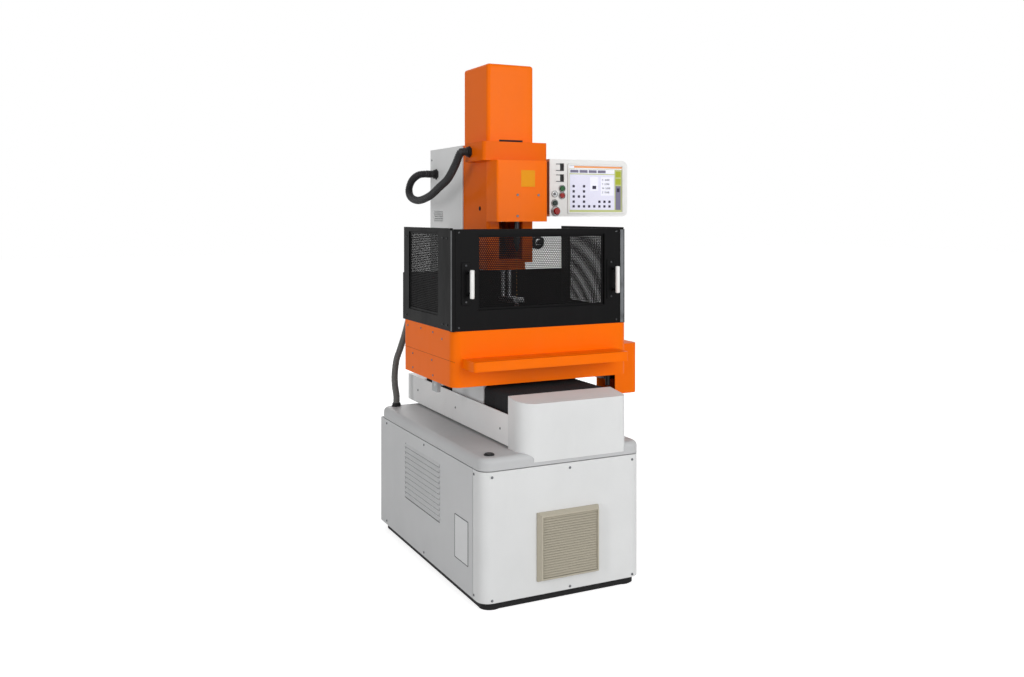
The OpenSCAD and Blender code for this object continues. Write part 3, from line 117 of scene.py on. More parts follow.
def build(name, shape, finish, body="base", replaces=(), smooth=False):
    points, faces = shape
    mesh = bpy.data.meshes.new(name)
    mesh.from_pydata(place(points).tolist(), [], [list(map(int, f)) for f in faces])
    mesh.validate()
    mesh.materials.append(finishes[finish])
    piece = added(name, mesh)
    if smooth:
        mesh.polygons.foreach_set("use_smooth", np.ones(len(mesh.polygons), bool))
        mesh.set_sharp_from_angle(angle=sharpFrom)
    if body:
        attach(piece, body)
    if replaces:
        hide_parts(*replaces)
    return piece


# Shapes, each a surface worked out on a grid of rings

def loopFaces(rings, sides):
    # Quads between ring i and ring i + 1, closed round the ring
    i, k = np.meshgrid(np.arange(rings - 1), np.arange(sides), indexing="ij")
    a = i * sides + k
    b = i * sides + (k + 1) % sides
    return np.stack([a, b, b + sides, a + sides], -1).reshape(-1, 4).tolist()


def flatEnds(rings, sides):
    # The rings' quads and one flat face at both ends
    last = (rings - 1) * sides
    return loopFaces(rings, sides) + [list(range(sides))[::-1], [last + k for k in range(sides)]]


def fanEnds(rings, sides):
    # The rings' quads and a fan at both ends, round the two points that follow the rings
    n, last = rings * sides, (rings - 1) * sides
    faces = loopFaces(rings, sides)
    faces += [[n, (k + 1) % sides, k] for k in range(sides)]
    faces += [[n + 1, last + k, last + (k + 1) % sides] for k in range(sides)]
    return faces


def turned(profile, sides=24):
    # (r cos t, r sin t, h) for each (r, h) of the profile
    profile = np.asarray(profile, float)
    t = np.linspace(0, 2 * math.pi, sides, endpoint=False)
    ring = np.stack([np.cos(t), np.sin(t)], -1)
    up = np.broadcast_to(profile[:, None, 1:], (len(profile), sides, 1))
    points = np.concatenate([profile[:, None, :1] * ring[None], up], -1).reshape(-1, 3)
    ends = [[0, 0, profile[0, 1]], [0, 0, profile[-1, 1]]]
    return np.concatenate([points, ends]), fanEnds(len(profile), sides)


def outline(w, h, r, steps=5):
    # Corners of a w x h rectangle as arcs of radius r, counter-clockwise round its middle
    r = max(min(r, w / 2 - 1e-3, h / 2 - 1e-3), 1e-3)
    t = np.linspace(0, math.pi / 2, steps)
    out = []
    for quarter, (x, y) in enumerate([(w / 2 - r, h / 2 - r), (r - w / 2, h / 2 - r),
            (r - w / 2, r - h / 2), (w / 2 - r, r - h / 2)]):
        a = t + quarter * math.pi / 2
        out.append(np.stack([x + r * np.cos(a), y + r * np.sin(a)], -1))
    return np.vstack(out)


def insetRings(w, h, r, profile, steps, leastRound=0.2):
    # For each (inset, up) of the profile the outline drawn in by the inset, at height up
    rings = []
    for inset, up in profile:
        bend = r - inset if inset < r else leastRound
        ring = outline(w - 2 * inset, h - 2 * inset, bend, steps)
        rings.append(np.column_stack([ring, np.full(len(ring), up)]))
    return np.vstack(rings)


def slab(w, h, t, r=2.0, edge=0.6, steps=5):
    # Rounded plate: its outline drawn in by the edge at the top, carried from 0 up to t
    profile = [(0, 0), (0, t - edge), (edge, t)]
    return insetRings(w, h, r, profile, steps), flatEnds(len(profile), 4 * steps)


def rim(w, h, wide, t, r=4.0, edge=0.8, steps=4):
    # A closed profile, wide x t with its front edges broken, carried round a rounded rectangle
    profile = [(0, 0), (0, t - edge), (edge, t), (wide - edge, t), (wide, t - edge), (wide, 0)]
    sides = 4 * steps
    last = (len(profile) - 1) * sides
    faces = loopFaces(len(profile), sides)
    faces += [[last + k, last + (k + 1) % sides, (k + 1) % sides, k] for k in range(sides)]
    return insetRings(w, h, r, profile, steps), faces


def alongPath(path, count):
    # Catmull-Rom through the given points, then read off again at even lengths
    p = np.asarray(path, float)
    p = np.vstack([2 * p[0] - p[1], p, 2 * p[-1] - p[-2]])
    t = np.linspace(0, 1, 24, endpoint=False)[:, None]
    out = [0.5 * (2 * b + (c - a) * t + (2 * a - 5 * b + 4 * c - d) * t ** 2
        + (3 * b - a - 3 * c + d) * t ** 3)
        for a, b, c, d in zip(p[:-3], p[1:-2], p[2:-1], p[3:])]
    fine = np.vstack(out + [p[-2:-1]])
    run = np.concatenate([[0], np.cumsum(np.linalg.norm(np.diff(fine, axis=0), axis=1))])
    even = np.linspace(0, run[-1], count)
    return np.stack([np.interp(even, run, fine[:, k]) for k in range(3)], -1)


def swept(path, radius, sides=20):
    # path + r * (cos t * across + sin t * other): circles of the given radii across the path.
    # Each one's axes come from the one before it, so that the tube doesn't twist
    path = np.asarray(path, float)
    radius = np.broadcast_to(np.asarray(radius, float), (len(path),))
    ahead = np.gradient(path, axis=0)
    ahead /= np.linalg.norm(ahead, axis=1)[:, None]
    side = np.cross(ahead[0], [0.13, 0.21, 0.97])  # any direction that no path follows
    across = []
    for d in ahead:
        side = side - d * side.dot(d)
        side /= np.linalg.norm(side)
        across.append(side)
    across = np.array(across)
    other = np.cross(ahead, across)
    t = np.linspace(0, 2 * math.pi, sides, endpoint=False)[None, :, None]
    circles = np.cos(t) * across[:, None] + np.sin(t) * other[:, None]
    points = (path[:, None] + radius[:, None, None] * circles).reshape(-1, 3)
    return np.vstack([points, path[:1], path[-1:]]), fanEnds(len(path), sides)


def perforated(w, h, pitch, hole, t):
    # Rows of cells, each second row half a cell further. Each cell is an eight-sided hole
    # inside eight points on the cell's border, on both faces, with the hole's wall between
    rise = pitch * 0.875  # rows stand closer together than the holes in a row
    rows = int(h // rise)
    columns = int(w // pitch)
    r, k = np.meshgrid(np.arange(rows), np.arange(columns), indexing="ij")
    keep = (r % 2 == 0) | (k < columns - 1)
    cx = ((k + 0.5 + 0.5 * (r % 2)) * pitch - columns * pitch / 2)[keep]
    cy = ((r + 0.5) * rise - rows * rise / 2)[keep]
    angle = np.arange(8) * math.pi / 4
    border = np.stack([np.sign(np.round(np.cos(angle), 3)) * pitch / 2,
        np.sign(np.round(np.sin(angle), 3)) * rise / 2], -1)
    ring = np.stack([np.cos(angle), np.sin(angle)], -1) * hole / 2
    layers = [(border, t), (ring, t), (ring, 0), (border, 0)]
    cell = np.concatenate([np.column_stack([xy, np.full(8, z)]) for xy, z in layers])
    points = cell[None] + np.stack([cx, cy, np.zeros_like(cx)], -1)[:, None]
    one = np.array(loopFaces(len(layers), 8))
    faces = (one[None] + len(cell) * np.arange(len(cx))[:, None, None]).reshape(-1, 4)
    return points.reshape(-1, 3), faces.tolist()


def threaded(length, r, lead, depth, sides=16, perTurn=12):
    # r - depth * (1 + cos(turn - angle)) / 2: a screw's round groove, with flat closed ends
    rings = int(length / lead * perTurn) + 1
    z = np.linspace(0, length, rings)
    t = np.linspace(0, 2 * math.pi, sides, endpoint=False)
    groove = depth * (1 + np.cos(2 * math.pi * z[:, None] / lead - t[None])) / 2
    rr = r - groove
    points = np.stack([rr * np.cos(t), rr * np.sin(t), np.repeat(z[:, None], sides, 1)], -1)
    return points.reshape(-1, 3), flatEnds(rings, sides)


def socketScrew(r, h):
    # A cap with a broken edge and a round socket sunk into its top
    return turned([(r, 0), (r, h * 0.8), (r * 0.86, h), (r * 0.5, h), (r * 0.44, h * 0.35)], 12)


def panScrew(r, h):
    # A domed head with a round recess for the driver
    return turned([(r, 0), (r * 0.96, h * 0.45), (r * 0.7, h * 0.85), (r * 0.34, h),
        (r * 0.26, h * 0.4)], 12)


def plateOn(name, size, at, side, finish, body="base", **more):
    # A rounded plate of the size (width, height, thickness) on a face
    return build(name, onFace(slab(*size, **more), at, side), finish, body)


# Form, radius, height and finish of each kind of screw
screwKinds = {
    "panLarge": (panScrew, 5.0, 2.6, "screwSteel"),
    "panMiddle": (panScrew, 4.5, 2.4, "screwSteel"),
    "panSmall": (panScrew, 4.0, 2.2, "screwSteel"),
    "capLarge": (socketScrew, 5.0, 3.5, "screwSteel"),
    "capMiddle": (socketScrew, 4.0, 3.0, "blackened"),
    "capSmall": (socketScrew, 3.6, 2.2, "blackened"),
}


def screwsOn(name, kind, spots, body="base"):
    form, r, h, finish = screwKinds[kind]
    return build(name, together([onFace(form(r, h), at, side) for at, side in spots]), finish,
        body, smooth=True)


def spotGrid(xs, y, zs, side):
    return [((x, y, z), side) for x in xs for z in zs]


def bothSides(leftX, rightX, spots):
    # The same (y, z) places on the left face and on the right one
    return [((x, y, z), side) for x, side in ((leftX, "left"), (rightX, "right")) for y, z in spots]


# Shader nodes and groups

def newGroup(name, inputs, outputs):
    group = bpy.data.node_groups.new(name, "ShaderNodeTree")
    for label, kind, value in inputs:
        socket = group.interface.new_socket(label, in_out="INPUT", socket_type=kind)
        socket.default_value = value
    for label, kind in outputs:
        group.interface.new_socket(label, in_out="OUTPUT", socket_type=kind)
    return group, group.nodes.new("NodeGroupInput"), group.nodes.new("NodeGroupOutput")


def node(tree, kind, links=(), **settings):
    # A node with its plain settings, and (input, value or output) pairs
    made = tree.nodes.new(kind)
    for key, value in settings.items():
        setattr(made, key, value)
    for key, value in links:
        if isinstance(value, bpy.types.NodeSocket):
            tree.links.new(value, made.inputs[key])
        else:
            made.inputs[key].default_value = value
    return made


def setInputs(target, values):
    for key, value in values.items():
        target.inputs[key].default_value = value


def mixColour(tree, factor, a, b):
    made = node(tree, "ShaderNodeMix", [(0, factor), (6, a), (7, b)], data_type="RGBA")
    return made.outputs[2]


def mathNode(tree, operation, a, b, clamp=False):
    made = node(tree, "ShaderNodeMath", [(0, a), (1, b)], operation=operation, use_clamp=clamp)
    return made.outputs[0]


def objectPlace(tree):
    return node(tree, "ShaderNodeTexCoord").outputs["Object"]


def noise(tree, where, scale, detail, rough=0.5):
    return node(tree, "ShaderNodeTexNoise", [("Vector", where), ("Scale", scale),
        ("Detail", detail), ("Roughness", rough)]).outputs[0]


def ramp(tree, value, low, high, least=0.0, most=1.0):
    # The value carried from low ... high to least ... most
    return node(tree, "ShaderNodeMapRange", [(0, value), (1, low), (2, high), (3, least),
        (4, most)]).outputs[0]


number, vector = "NodeSocketFloat", "NodeSocketVector"

# Where edges are rubbed: the rounded normal leaves the true one near an edge, broken by noise
edgeWear, given, put = newGroup("edgeWear", [
    ("Radius", number, 0.0012), ("Break Up", number, 260.0), ("Amount", number, 1.0)],
    [("Mask", number), ("Normal", vector)])
soft = node(edgeWear, "ShaderNodeBevel", [("Radius", given.outputs["Radius"])],
    samples=4).outputs[0]
true = node(edgeWear, "ShaderNodeNewGeometry").outputs["Normal"]
apart = node(edgeWear, "ShaderNodeVectorMath", [(0, soft), (1, true)],
    operation="DOT_PRODUCT").outputs["Value"]
broken = noise(edgeWear, objectPlace(edgeWear), given.outputs["Break Up"], 3.0)
rubbed = mathNode(edgeWear, "MULTIPLY", ramp(edgeWear, apart, 0.995, 0.8),
    ramp(edgeWear, broken, 0.42, 0.62))
rubbed = mathNode(edgeWear, "MULTIPLY", rubbed, given.outputs["Amount"], True)
edgeWear.links.new(rubbed, put.inputs["Mask"])
edgeWear.links.new(soft, put.inputs["Normal"])

# Powder coat: fine orange peel for height, slow cloudiness, and smudges drawn out in height
coatGrain, given, put = newGroup("coatGrain", [
    ("Grain Scale", number, 700.0), ("Cloud Scale", number, 5.0)],
    [("Height", number), ("Cloud", number), ("Smudge", number)])
where = objectPlace(coatGrain)
stretched = node(coatGrain, "ShaderNodeMapping", [("Vector", where),
    ("Scale", (9.0, 9.0, 2.2))]).outputs[0]
smudge = noise(coatGrain, stretched, 1.6, 6.0, 0.65)
for label, socket in (("Height", noise(coatGrain, where, given.outputs["Grain Scale"], 2.0, 0.6)),
        ("Cloud", noise(coatGrain, where, given.outputs["Cloud Scale"], 4.0)),
        ("Smudge", ramp(coatGrain, smudge, 0.5, 0.78))):
    coatGrain.links.new(socket, put.inputs[label])

# Brushed or ground metal: noise drawn out along one direction
brushLines, given, put = newGroup("brushLines", [
    ("Stretch", vector, (1.0, 60.0, 60.0)), ("Scale", number, 30.0)],
    [("Lines", number), ("Stain", number)])
where = objectPlace(brushLines)
stretched = node(brushLines, "ShaderNodeVectorMath", [(0, where), (1, given.outputs["Stretch"])],
    operation="MULTIPLY").outputs[0]
brushLines.links.new(noise(brushLines, stretched, given.outputs["Scale"], 5.0),
    put.inputs["Lines"])
brushLines.links.new(ramp(brushLines, noise(brushLines, where, 22.0, 5.0), 0.5, 0.72),
    put.inputs["Stain"])


def linear(code):
    # sRGB hex to linear: ((c + 0.055) / 1.055) ** 2.4, or c / 12.92 near black
    c = np.array([int(code[k:k + 2], 16) for k in (1, 3, 5)]) / 255
    c = np.where(c > 0.04045, ((c + 0.055) / 1.055) ** 2.4, c / 12.92)
    return (*map(float, c), 1.0)


def scaled(colour, by, lift=0.0):
    return (*[c * by + lift for c in colour[:3]], 1.0)


def newMaterial(name):
    made = bpy.data.materials.new(name)
    made.use_nodes = True
    tree = made.node_tree
    return made, tree, tree.nodes["Principled BSDF"]


def useGroup(tree, group, values):
    made = node(tree, "ShaderNodeGroup", node_tree=group)
    setInputs(made, values)
    return made.outputs


def dressed(tree, shader, tone, gloss, height, strength, distance, normal):
    # Colour, gloss and a bump on top of the rounded normal, all to the shader
    bump = node(tree, "ShaderNodeBump", [("Height", height), ("Strength", strength),
        ("Distance", distance), ("Normal", normal)]).outputs[0]
    for label, socket in (("Base Color", tone), ("Roughness", gloss), ("Normal", bump)):
        tree.links.new(socket, shader.inputs[label])


# How far clouds darken a coat, what dust does to its colour, how much smudges roughen it,
# the bumps' height in metres and the roughness of a clear coat
coatLook = {"cloudy": 2.2, "dusty": 0.94, "dustLift": 0.004, "smudged": 0.16, "bump": 0.0006,
    "clear": 0.12}
# Which part of the drawn-out lines counts, the gloss at its ends, the bumps, the rubbed edge
metalLook = {"lines": (0.3, 0.7), "gloss": (0.75, 1.35), "strength": 0.08, "bump": 0.0003,
    "edge": 0.0006}


def coated(name, colour, worn, rough=0.42, grain=0.10, cloud=0.06, wear=0.5, coat=0.0,
        scale=700.0, shine=0.35):
    # Powder coat or paint: cloudy colour, rubbed edges, smudges that change the gloss
    made, tree, shader = newMaterial(name)
    skin = useGroup(tree, coatGrain, {"Grain Scale": scale})
    rub = useGroup(tree, edgeWear, {"Amount": wear})
    base = linear(colour)
    tone = mixColour(tree, skin["Cloud"], scaled(base, 1 - coatLook["cloudy"] * cloud), base)
    dusty = scaled(base, coatLook["dusty"], coatLook["dustLift"])
    tone = mixColour(tree, skin["Smudge"], tone, dusty)
    tone = mixColour(tree, rub["Mask"], tone, linear(worn))
    gloss = ramp(tree, skin["Smudge"], 0.0, 1.0, rough, rough + coatLook["smudged"])
    dressed(tree, shader, tone, gloss, skin["Height"], grain, coatLook["bump"], rub["Normal"])
    setInputs(shader, {"Coat Weight": coat, "Coat Roughness": coatLook["clear"],
        "Specular IOR Level": shine})
    return made


def metal(name, colour, rough=0.28, stretch=(1.0, 60.0, 60.0), scale=30.0, stained=0.35,
        wear=0.6, bright="#e6e7e8"):
    # Bare metal: drawn-out lines in gloss and height, stains, brighter edges
    made, tree, shader = newMaterial(name)
    skin = useGroup(tree, brushLines, {"Stretch": stretch, "Scale": scale})
    rub = useGroup(tree, edgeWear, {"Amount": wear, "Radius": metalLook["edge"]})
    base = linear(colour)
    tone = mixColour(tree, skin["Stain"], base, scaled(base, 1 - stained))
    tone = mixColour(tree, rub["Mask"], tone, linear(bright))
    gloss = ramp(tree, skin["Lines"], *metalLook["lines"],
        *[rough * share for share in metalLook["gloss"]])
    dressed(tree, shader, tone, gloss, skin["Lines"], metalLook["strength"], metalLook["bump"],
        rub["Normal"])
    setInputs(shader, {"Metallic": 1.0})
    return made


plastic = {"rough": 0.5, "grain": 0.25, "scale": 1500, "wear": 0.25, "cloud": 0.05, "shine": 0.25}


def moulded(name, colour, worn="#6a6a6a", **more):
    # Plastic or rubber: leathery grain, slightly greyed edges
    return coated(name, colour, worn, **{**plastic, **more})


def lit(name, colour, glow, speckle):
    # A shown picture element: its colour with a fine grid of dots, and some light of its own
    made, tree, shader = newMaterial(name)
    base = linear(colour)
    dots = node(tree, "ShaderNodeTexChecker", [
        ("Vector", objectPlace(tree)), ("Scale", 900.0), ("Color1", base),
        ("Color2", scaled(base, 1 - speckle))]).outputs[0]
    tree.links.new(dots, shader.inputs["Base Color"])
    tree.links.new(dots, shader.inputs["Emission Color"])
    setInputs(shader, {"Emission Strength": glow, "Roughness": 0.3, "Specular IOR Level": 0.1})
    return made


upright, lengthwise, roundWise = (60.0, 60.0, 1.0), (60.0, 1.0, 60.0), (1.0, 1.0, 90.0)
sheet = {"rough": 0.5, "grain": 0.2, "scale": 900}
cast = {"rough": 0.55, "grain": 0.5, "scale": 420}
finishes = {
    "orange": coated("orangeCoat", "#fd7200", "#e08038", cloud=0.04, wear=0.2, shine=0.03,
        coat=0.08),
    "orangeCast": coated("orangeCasting", "#f26b04", "#d07a38", rough=0.45, grain=0.2, wear=0.25,
        shine=0.03, coat=0.05),
    # Paler copy of the covers' grey for the column cover and the bed covers: painted light on parts
    # that lie in shade
    "coverPaintedLight": coated("coverPaintedLightCoat", "#edeeee", "#a9acae", wear=0.3, **sheet),
    # One cabinet paint in three tones: paler on the front panel and the front block as painted
    # light, darker on the side and rear panels and darker still on the lid as painted shade
    "cabinetSidePaintedShade": coated("cabinetSidePaintedShadeCoat", "#cbcccd", "#8d9092", wear=0.35, **sheet),
    "cabinetLidPaintedShade": coated("cabinetLidPaintedShadeCoat", "#c1c2c3", "#8a8c8e", wear=0.35, **sheet),
    "cabinetFrontPaintedLight": coated("cabinetFrontPaintedLightCoat", "#dfe0e0", "#96999b", rough=0.48, grain=0.18, scale=900,
        wear=0.35),
    "casting": coated("castingPaint", "#aeb1b3", "#7c7f81", cloud=0.08, **cast),
    # Lighter copy of the casting paint for the saddle: painted light on a part that lies in shade
    "castingPaintedLight": coated("castingPaintedLightPaint", "#e4e6e7", "#8c8f91", **cast),
    # Paint of the stand, rims and marks, also painted shade at the louvres' lips
    "framePaintAndShade": coated("framePaintAndShade", "#55585b", "#8b8d8f", rough=0.6, grain=0.3),
    # Dark paint of the feet, also painted shadow round the louvre field
    "darkPaintAndShadow": coated("darkPaintAndShadow", "#2c2d30", "#77797b", rough=0.5, grain=0.2),
    "panelPaint": coated("panelPaint", "#eeeeec", "#a9abac", rough=0.36, grain=0.08, cloud=0.03,
        coat=0.2),
    "blackFrame": coated("blackFrame", "#0c0c0d", "#343537", rough=0.45, grain=0.12, wear=0.4,
        shine=0.06),
    "blackPlastic": moulded("blackPlastic", "#1b1b1d"),
    "greyPlastic": moulded("greyPlastic", "#737371", rough=0.46),
    "hosePlastic": moulded("hosePlastic", "#2b2b2d", rough=0.42),
    "grillePlastic": moulded("grillePlastic", "#b8b1a0", rough=0.58, worn="#d9d5c8"),
    "filterCloth": moulded("filterCloth", "#3b3a35", rough=0.95, grain=1.0, scale=2200),
    "bellowsCloth": moulded("bellowsCloth", "#202022", rough=0.72, grain=0.6, scale=2600,
        wear=0.8),
    "rubber": moulded("rubber", "#141415", rough=0.75, grain=0.5),
    "steel": metal("groundSteel", "#b9bbbe", rough=0.26),
    "railSteel": metal("railSteel", "#9ea1a4", rough=0.22, stretch=lengthwise),
    "bright": metal("satinAluminium", "#8e9092", rough=0.34, stretch=upright),
    # Metal of the corner strips, the left of which stands as a painted highlight
    "stripSteelAndHighlight": metal("stripSteelAndHighlight", "#5c5e60", rough=0.4, stretch=upright, bright="#8e9092"),
    "meshSteel": coated("meshCoat", "#0d0d0e", "#2c2d2f", rough=0.5, wear=0.1, shine=0.06),
    "screwSteel": metal("screwSteel", "#6a6c6f", rough=0.38, stained=0.4, bright="#9a9c9e"),
    "turnedSteel": metal("turnedSteel", "#a9abad", rough=0.24, stretch=roundWise),
    "blackened": metal("blackenedSteel", "#3a3b3d", rough=0.36, stretch=roundWise),
    "brass": metal("brass", "#c8954a", rough=0.25, stretch=upright, bright="#f0d49a"),
    "motorBlack": metal("motorBlack", "#35373a", rough=0.45, stained=0.2, bright="#8d9093"),
    "green": moulded("greenCap", "#0f5c28", rough=0.3, worn="#5fae77"),
    "red": moulded("redCap", "#a01713", rough=0.3, worn="#d96b66"),
    "black": moulded("blackCap", "#111213", rough=0.3, worn="#55585a"),
    "darkGreen": moulded("darkGreenCap", "#0b241c", rough=0.3, worn="#3f5a50"),
    # Grey of the control rings, also laid as painted shade along the panel housing's left side
    "ringGreyAndShade": moulded("ringGreyAndShade", "#8f9092", rough=0.4),
    "seam": coated("seamShade", "#a8480a", "#c8742e", rough=0.6, shine=0.03),
    "yellowPlate": coated("yellowPlate", "#f09c08", "#f0b84a", rough=0.4, grain=0.05, wear=0.2,
        shine=0.1),
    "whitePlate": coated("whitePlate", "#d9dadb", "#a5a7a9", rough=0.4, grain=0.05, wear=0.3),
    # Near black laid as painted shade behind the louvres and in the cover's slot
    "paintedShadeInside": coated("paintedShadeInside", "#161617", "#3d3d40", rough=0.85, grain=0.2),
}

# Which finish each node of the machine wears
dress = {
    "orange": "tray x_motor_cover upper_cover spindle_cover",
    "orangeCast": "head_body head_collar",
    "coverPaintedLight": "column_cover bed_covers",
    "cabinetSidePaintedShade": "side_panels rear_panel",
    "cabinetLidPaintedShade": "lid",
    "cabinetFrontPaintedLight": "front_panel front_block",
    "casting": "bed column table_base z_carriage",
    "castingPaintedLight": "saddle",
    "framePaintAndShade": "stand",
    "darkPaintAndShadow": "feet",
    "panelPaint": "panel_housing panel_arm guard_handles",
    "blackFrame": "side_walls back_wall front_guard corner_guides",
    "blackPlastic": "cable_glands panel_ports drain_hose hose_fittings",
    "greyPlastic": "conduit",
    "hosePlastic": "head_hose",
    "grillePlastic": "filter_grille",
    "bellowsCloth": "bellows",
    "steel": "table_top guide_arm electrode_guide",
    "railSteel": "base_rails x_rails z_rails",
    "meshSteel": "wall_meshes guard_mesh",
    "turnedSteel": "y_screw x_screw w_screw z_screw key_switch",
    "blackened": "chuck",
    "brass": "electrode",
    "motorBlack": "base_motors x_motor z_motor",
    "black": "screen",
    "darkGreen": "black_button",
    "green": "green_button",
    "red": "red_button stop_button",
}
for finish, names in dress.items():
    for name in names.split():
        mesh = nodes[name].data
        mesh.materials.clear()
        mesh.materials.append(finishes[finish])
print("finishes on the machine's nodes")

# Ribbed hoses, each with the points that its middle goes through
hoses = {
    "headHose": {
        "route": [[-117.9, 615, 1648], [-130, 615, 1648], [-146, 618, 1641], [-160, 640, 1590],
            [-165, 705, 1538], [-170, 785, 1506], [-175, 885, 1470], [-180, 1003, 1452],
            [-182, 1095, 1466], [-180, 1131, 1501], [-170, 1122, 1542], [-150, 1092, 1568],
            [-122, 1076, 1573], [-102, 1075, 1573], [-80.5, 1075, 1573]],
        "diameter": 34, "ribs": 120, "ribDepth": 2.6},
    "conduitTube": {
        "route": [[-273, 1039, 551.6], [-273, 1039, 583], [-280, 1039, 632], [-281, 1039, 680],
            [-273, 1039, 742], [-256, 1039, 790], [-235, 1040, 850], [-212, 1042, 930],
            [-190, 1045, 1010], [-160, 1048, 1075], [-124, 1050, 1108], [-104, 1050, 1110],
            [-80.5, 1050, 1110]],
        "diameter": 30, "ribs": 110, "ribDepth": 2.0},
}


def ribbedHose(route, diameter, ribs, ribDepth):
    # Radius along the tube: d / 2 - depth * ((1 + cos(turn)) / 2) ** 2, so the ribs are wide
    # and round and the grooves between them narrow
    perRib = 6
    path = alongPath(route, ribs * perRib + 1)
    turn = np.arange(len(path)) * 2 * math.pi / perRib
    return swept(path, diameter / 2 - ribDepth * ((1 + np.cos(turn)) / 2) ** 2)


headHose = build("headHose", ribbedHose(**hoses["headHose"]), "hosePlastic", None, smooth=True,
    replaces=["head_hose"])
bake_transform(headHose)
build("conduitTube", ribbedHose(**hoses["conduitTube"]), "greyPlastic", smooth=True,
    replaces=["conduit"])
print("ribbed hoses")

# Pleated way covers in front of the saddle and behind it
wayCovers = {"half": 205.0, "middle": 44.0, "low": 623.0, "depth": 9.0, "pleat": 20.0,
    "corner": 14.0, "cloth": 2.0, "sharpness": 1.3}
bellowsLow, bellowsHigh = edges("bellows")
saddleLow, saddleHigh = edges("saddle")


def pleated(y0, y1):
    # An arch-shaped section drawn in by depth * (1 - |2 * fold - 1|) ** sharpness, with fold
    # the share of the pleat, and carried along y; the inner face is the same surface drawn in
    # by the cloth's thickness
    perPleat = 8
    count = int(round((y1 - y0) / wayCovers["pleat"]))
    y = np.linspace(y0, y1, count * perPleat + 1)
    fold = (y - y0) / (y1 - y0) * count
    inset = wayCovers["depth"] * (1 - np.abs(2 * (fold % 1) - 1)) ** wayCovers["sharpness"]
    c, low = wayCovers["corner"], wayCovers["low"]
    bend = [(c * (1 - math.sin(s * math.pi / 2)), c * (1 - math.cos(s * math.pi / 2)))
        for s in np.linspace(0, 1, 7)[1:-1]]

    def section(d):
        a = wayCovers["half"] - d
        z = bellowsHigh[2] - d
        left = [(-a, low), (-a, (low + z) / 2), (-a, z - c)]
        left += [(-a + v, z - u) for u, v in bend] + [(-a + c, z)]
        return np.array(left + [(-u, v) for u, v in left[::-1]])

    def skin(inward):
        cuts = [section(d + inward) for d in inset]
        return np.array([np.column_stack([s[:, 0] + wayCovers["middle"], np.full(len(s), yy),
            s[:, 1]]) for s, yy in zip(cuts, y)])

    shell, wall = skin(0.0), skin(wayCovers["cloth"])
    wall[:, [0, -1], 2] = low
    wide = shell.shape[1]
    sides = 2 * wide
    faces = [f[::-1] for f in loopFaces(len(y), sides)]
    last = (len(y) - 1) * sides
    for k in range(wide - 1):
        faces.append([k, k + 1, sides - 2 - k, sides - 1 - k])
        faces.append([last + sides - 1 - k, last + sides - 2 - k, last + k + 1, last + k])
    return np.concatenate([shell, wall[:, ::-1]], 1).reshape(-1, 3), faces


frontCover = build("frontWayCover", pleated(bellowsLow[1], saddleLow[1]), "bellowsCloth", None,
    replaces=["bellows"])
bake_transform(frontCover)
rearCover = build("rearWayCover", pleated(saddleHigh[1], bellowsHigh[1]), "bellowsCloth", None,
    replaces=["bellows"])
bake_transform(rearCover)
print("pleated way covers")

# Perforated guard windows with a rim on both faces of each sheet
sheetMetal = {"pitch": 8.0, "hole": 5.5, "thick": 1.5, "rimWide": 9.0, "rimThick": 1.6,
    "sunk": 1.0}
windows = {
    "sideY": (388.0, 706.0), "sideZ": (1003.0, 1321.0),
    "frontX": (-236.0, 317.0), "frontZ": (1030.5, 1312.5),
}
sheetBack = -(sheetMetal["thick"] / 2)


def windowSheet(w, h, at, side):
    field = perforated(w, h, sheetMetal["pitch"], sheetMetal["hole"], sheetMetal["thick"])
    return onFace(moved(field, (0, 0, sheetBack)), at, side)


def windowRims(w, h, at, side):
    band = rim(w, h, sheetMetal["rimWide"], sheetMetal["rimThick"], r=3)
    return [onFace(moved(band, (0, 0, out)), at, side)
        for out in (sheetBack + sheetMetal["thick"], sheetBack - sheetMetal["rimThick"])]


wallLow, wallHigh = edges("side_walls")
meshLow, meshHigh = edges("wall_meshes")
guardLow, guardHigh = edges("front_guard")
guardMeshLow, guardMeshHigh = edges("guard_mesh")
sideW, sideMidY = spanned(windows["sideY"])
sideH, sideMidZ = spanned(windows["sideZ"])
leftAt = (meshLow[0] + sheetMetal["sunk"], sideMidY, sideMidZ)
rightAt = (meshHigh[0] - sheetMetal["sunk"], sideMidY, sideMidZ)
for at, side in ((leftAt, "left"), (rightAt, "right")):
    build(side + "WindowSheet", windowSheet(sideW, sideH, at, side), "meshSteel", "table",
        replaces=["wall_meshes"])
build("wallWindowRims", together(windowRims(sideW, sideH, leftAt, "left")
    + windowRims(sideW, sideH, rightAt, "right")), "blackFrame", "table")
frontW, frontMidX = spanned(windows["frontX"])
frontH, frontMidZ = spanned(windows["frontZ"])
frontAt = (frontMidX, (guardMeshLow[1] + guardMeshHigh[1]) / 2, frontMidZ)
build("frontWindowSheet", windowSheet(frontW, frontH, frontAt, "front"), "meshSteel", "guard",
    replaces=["guard_mesh"])
build("frontWindowRim", together(windowRims(frontW, frontH, frontAt, "front")), "blackFrame",
    "guard")

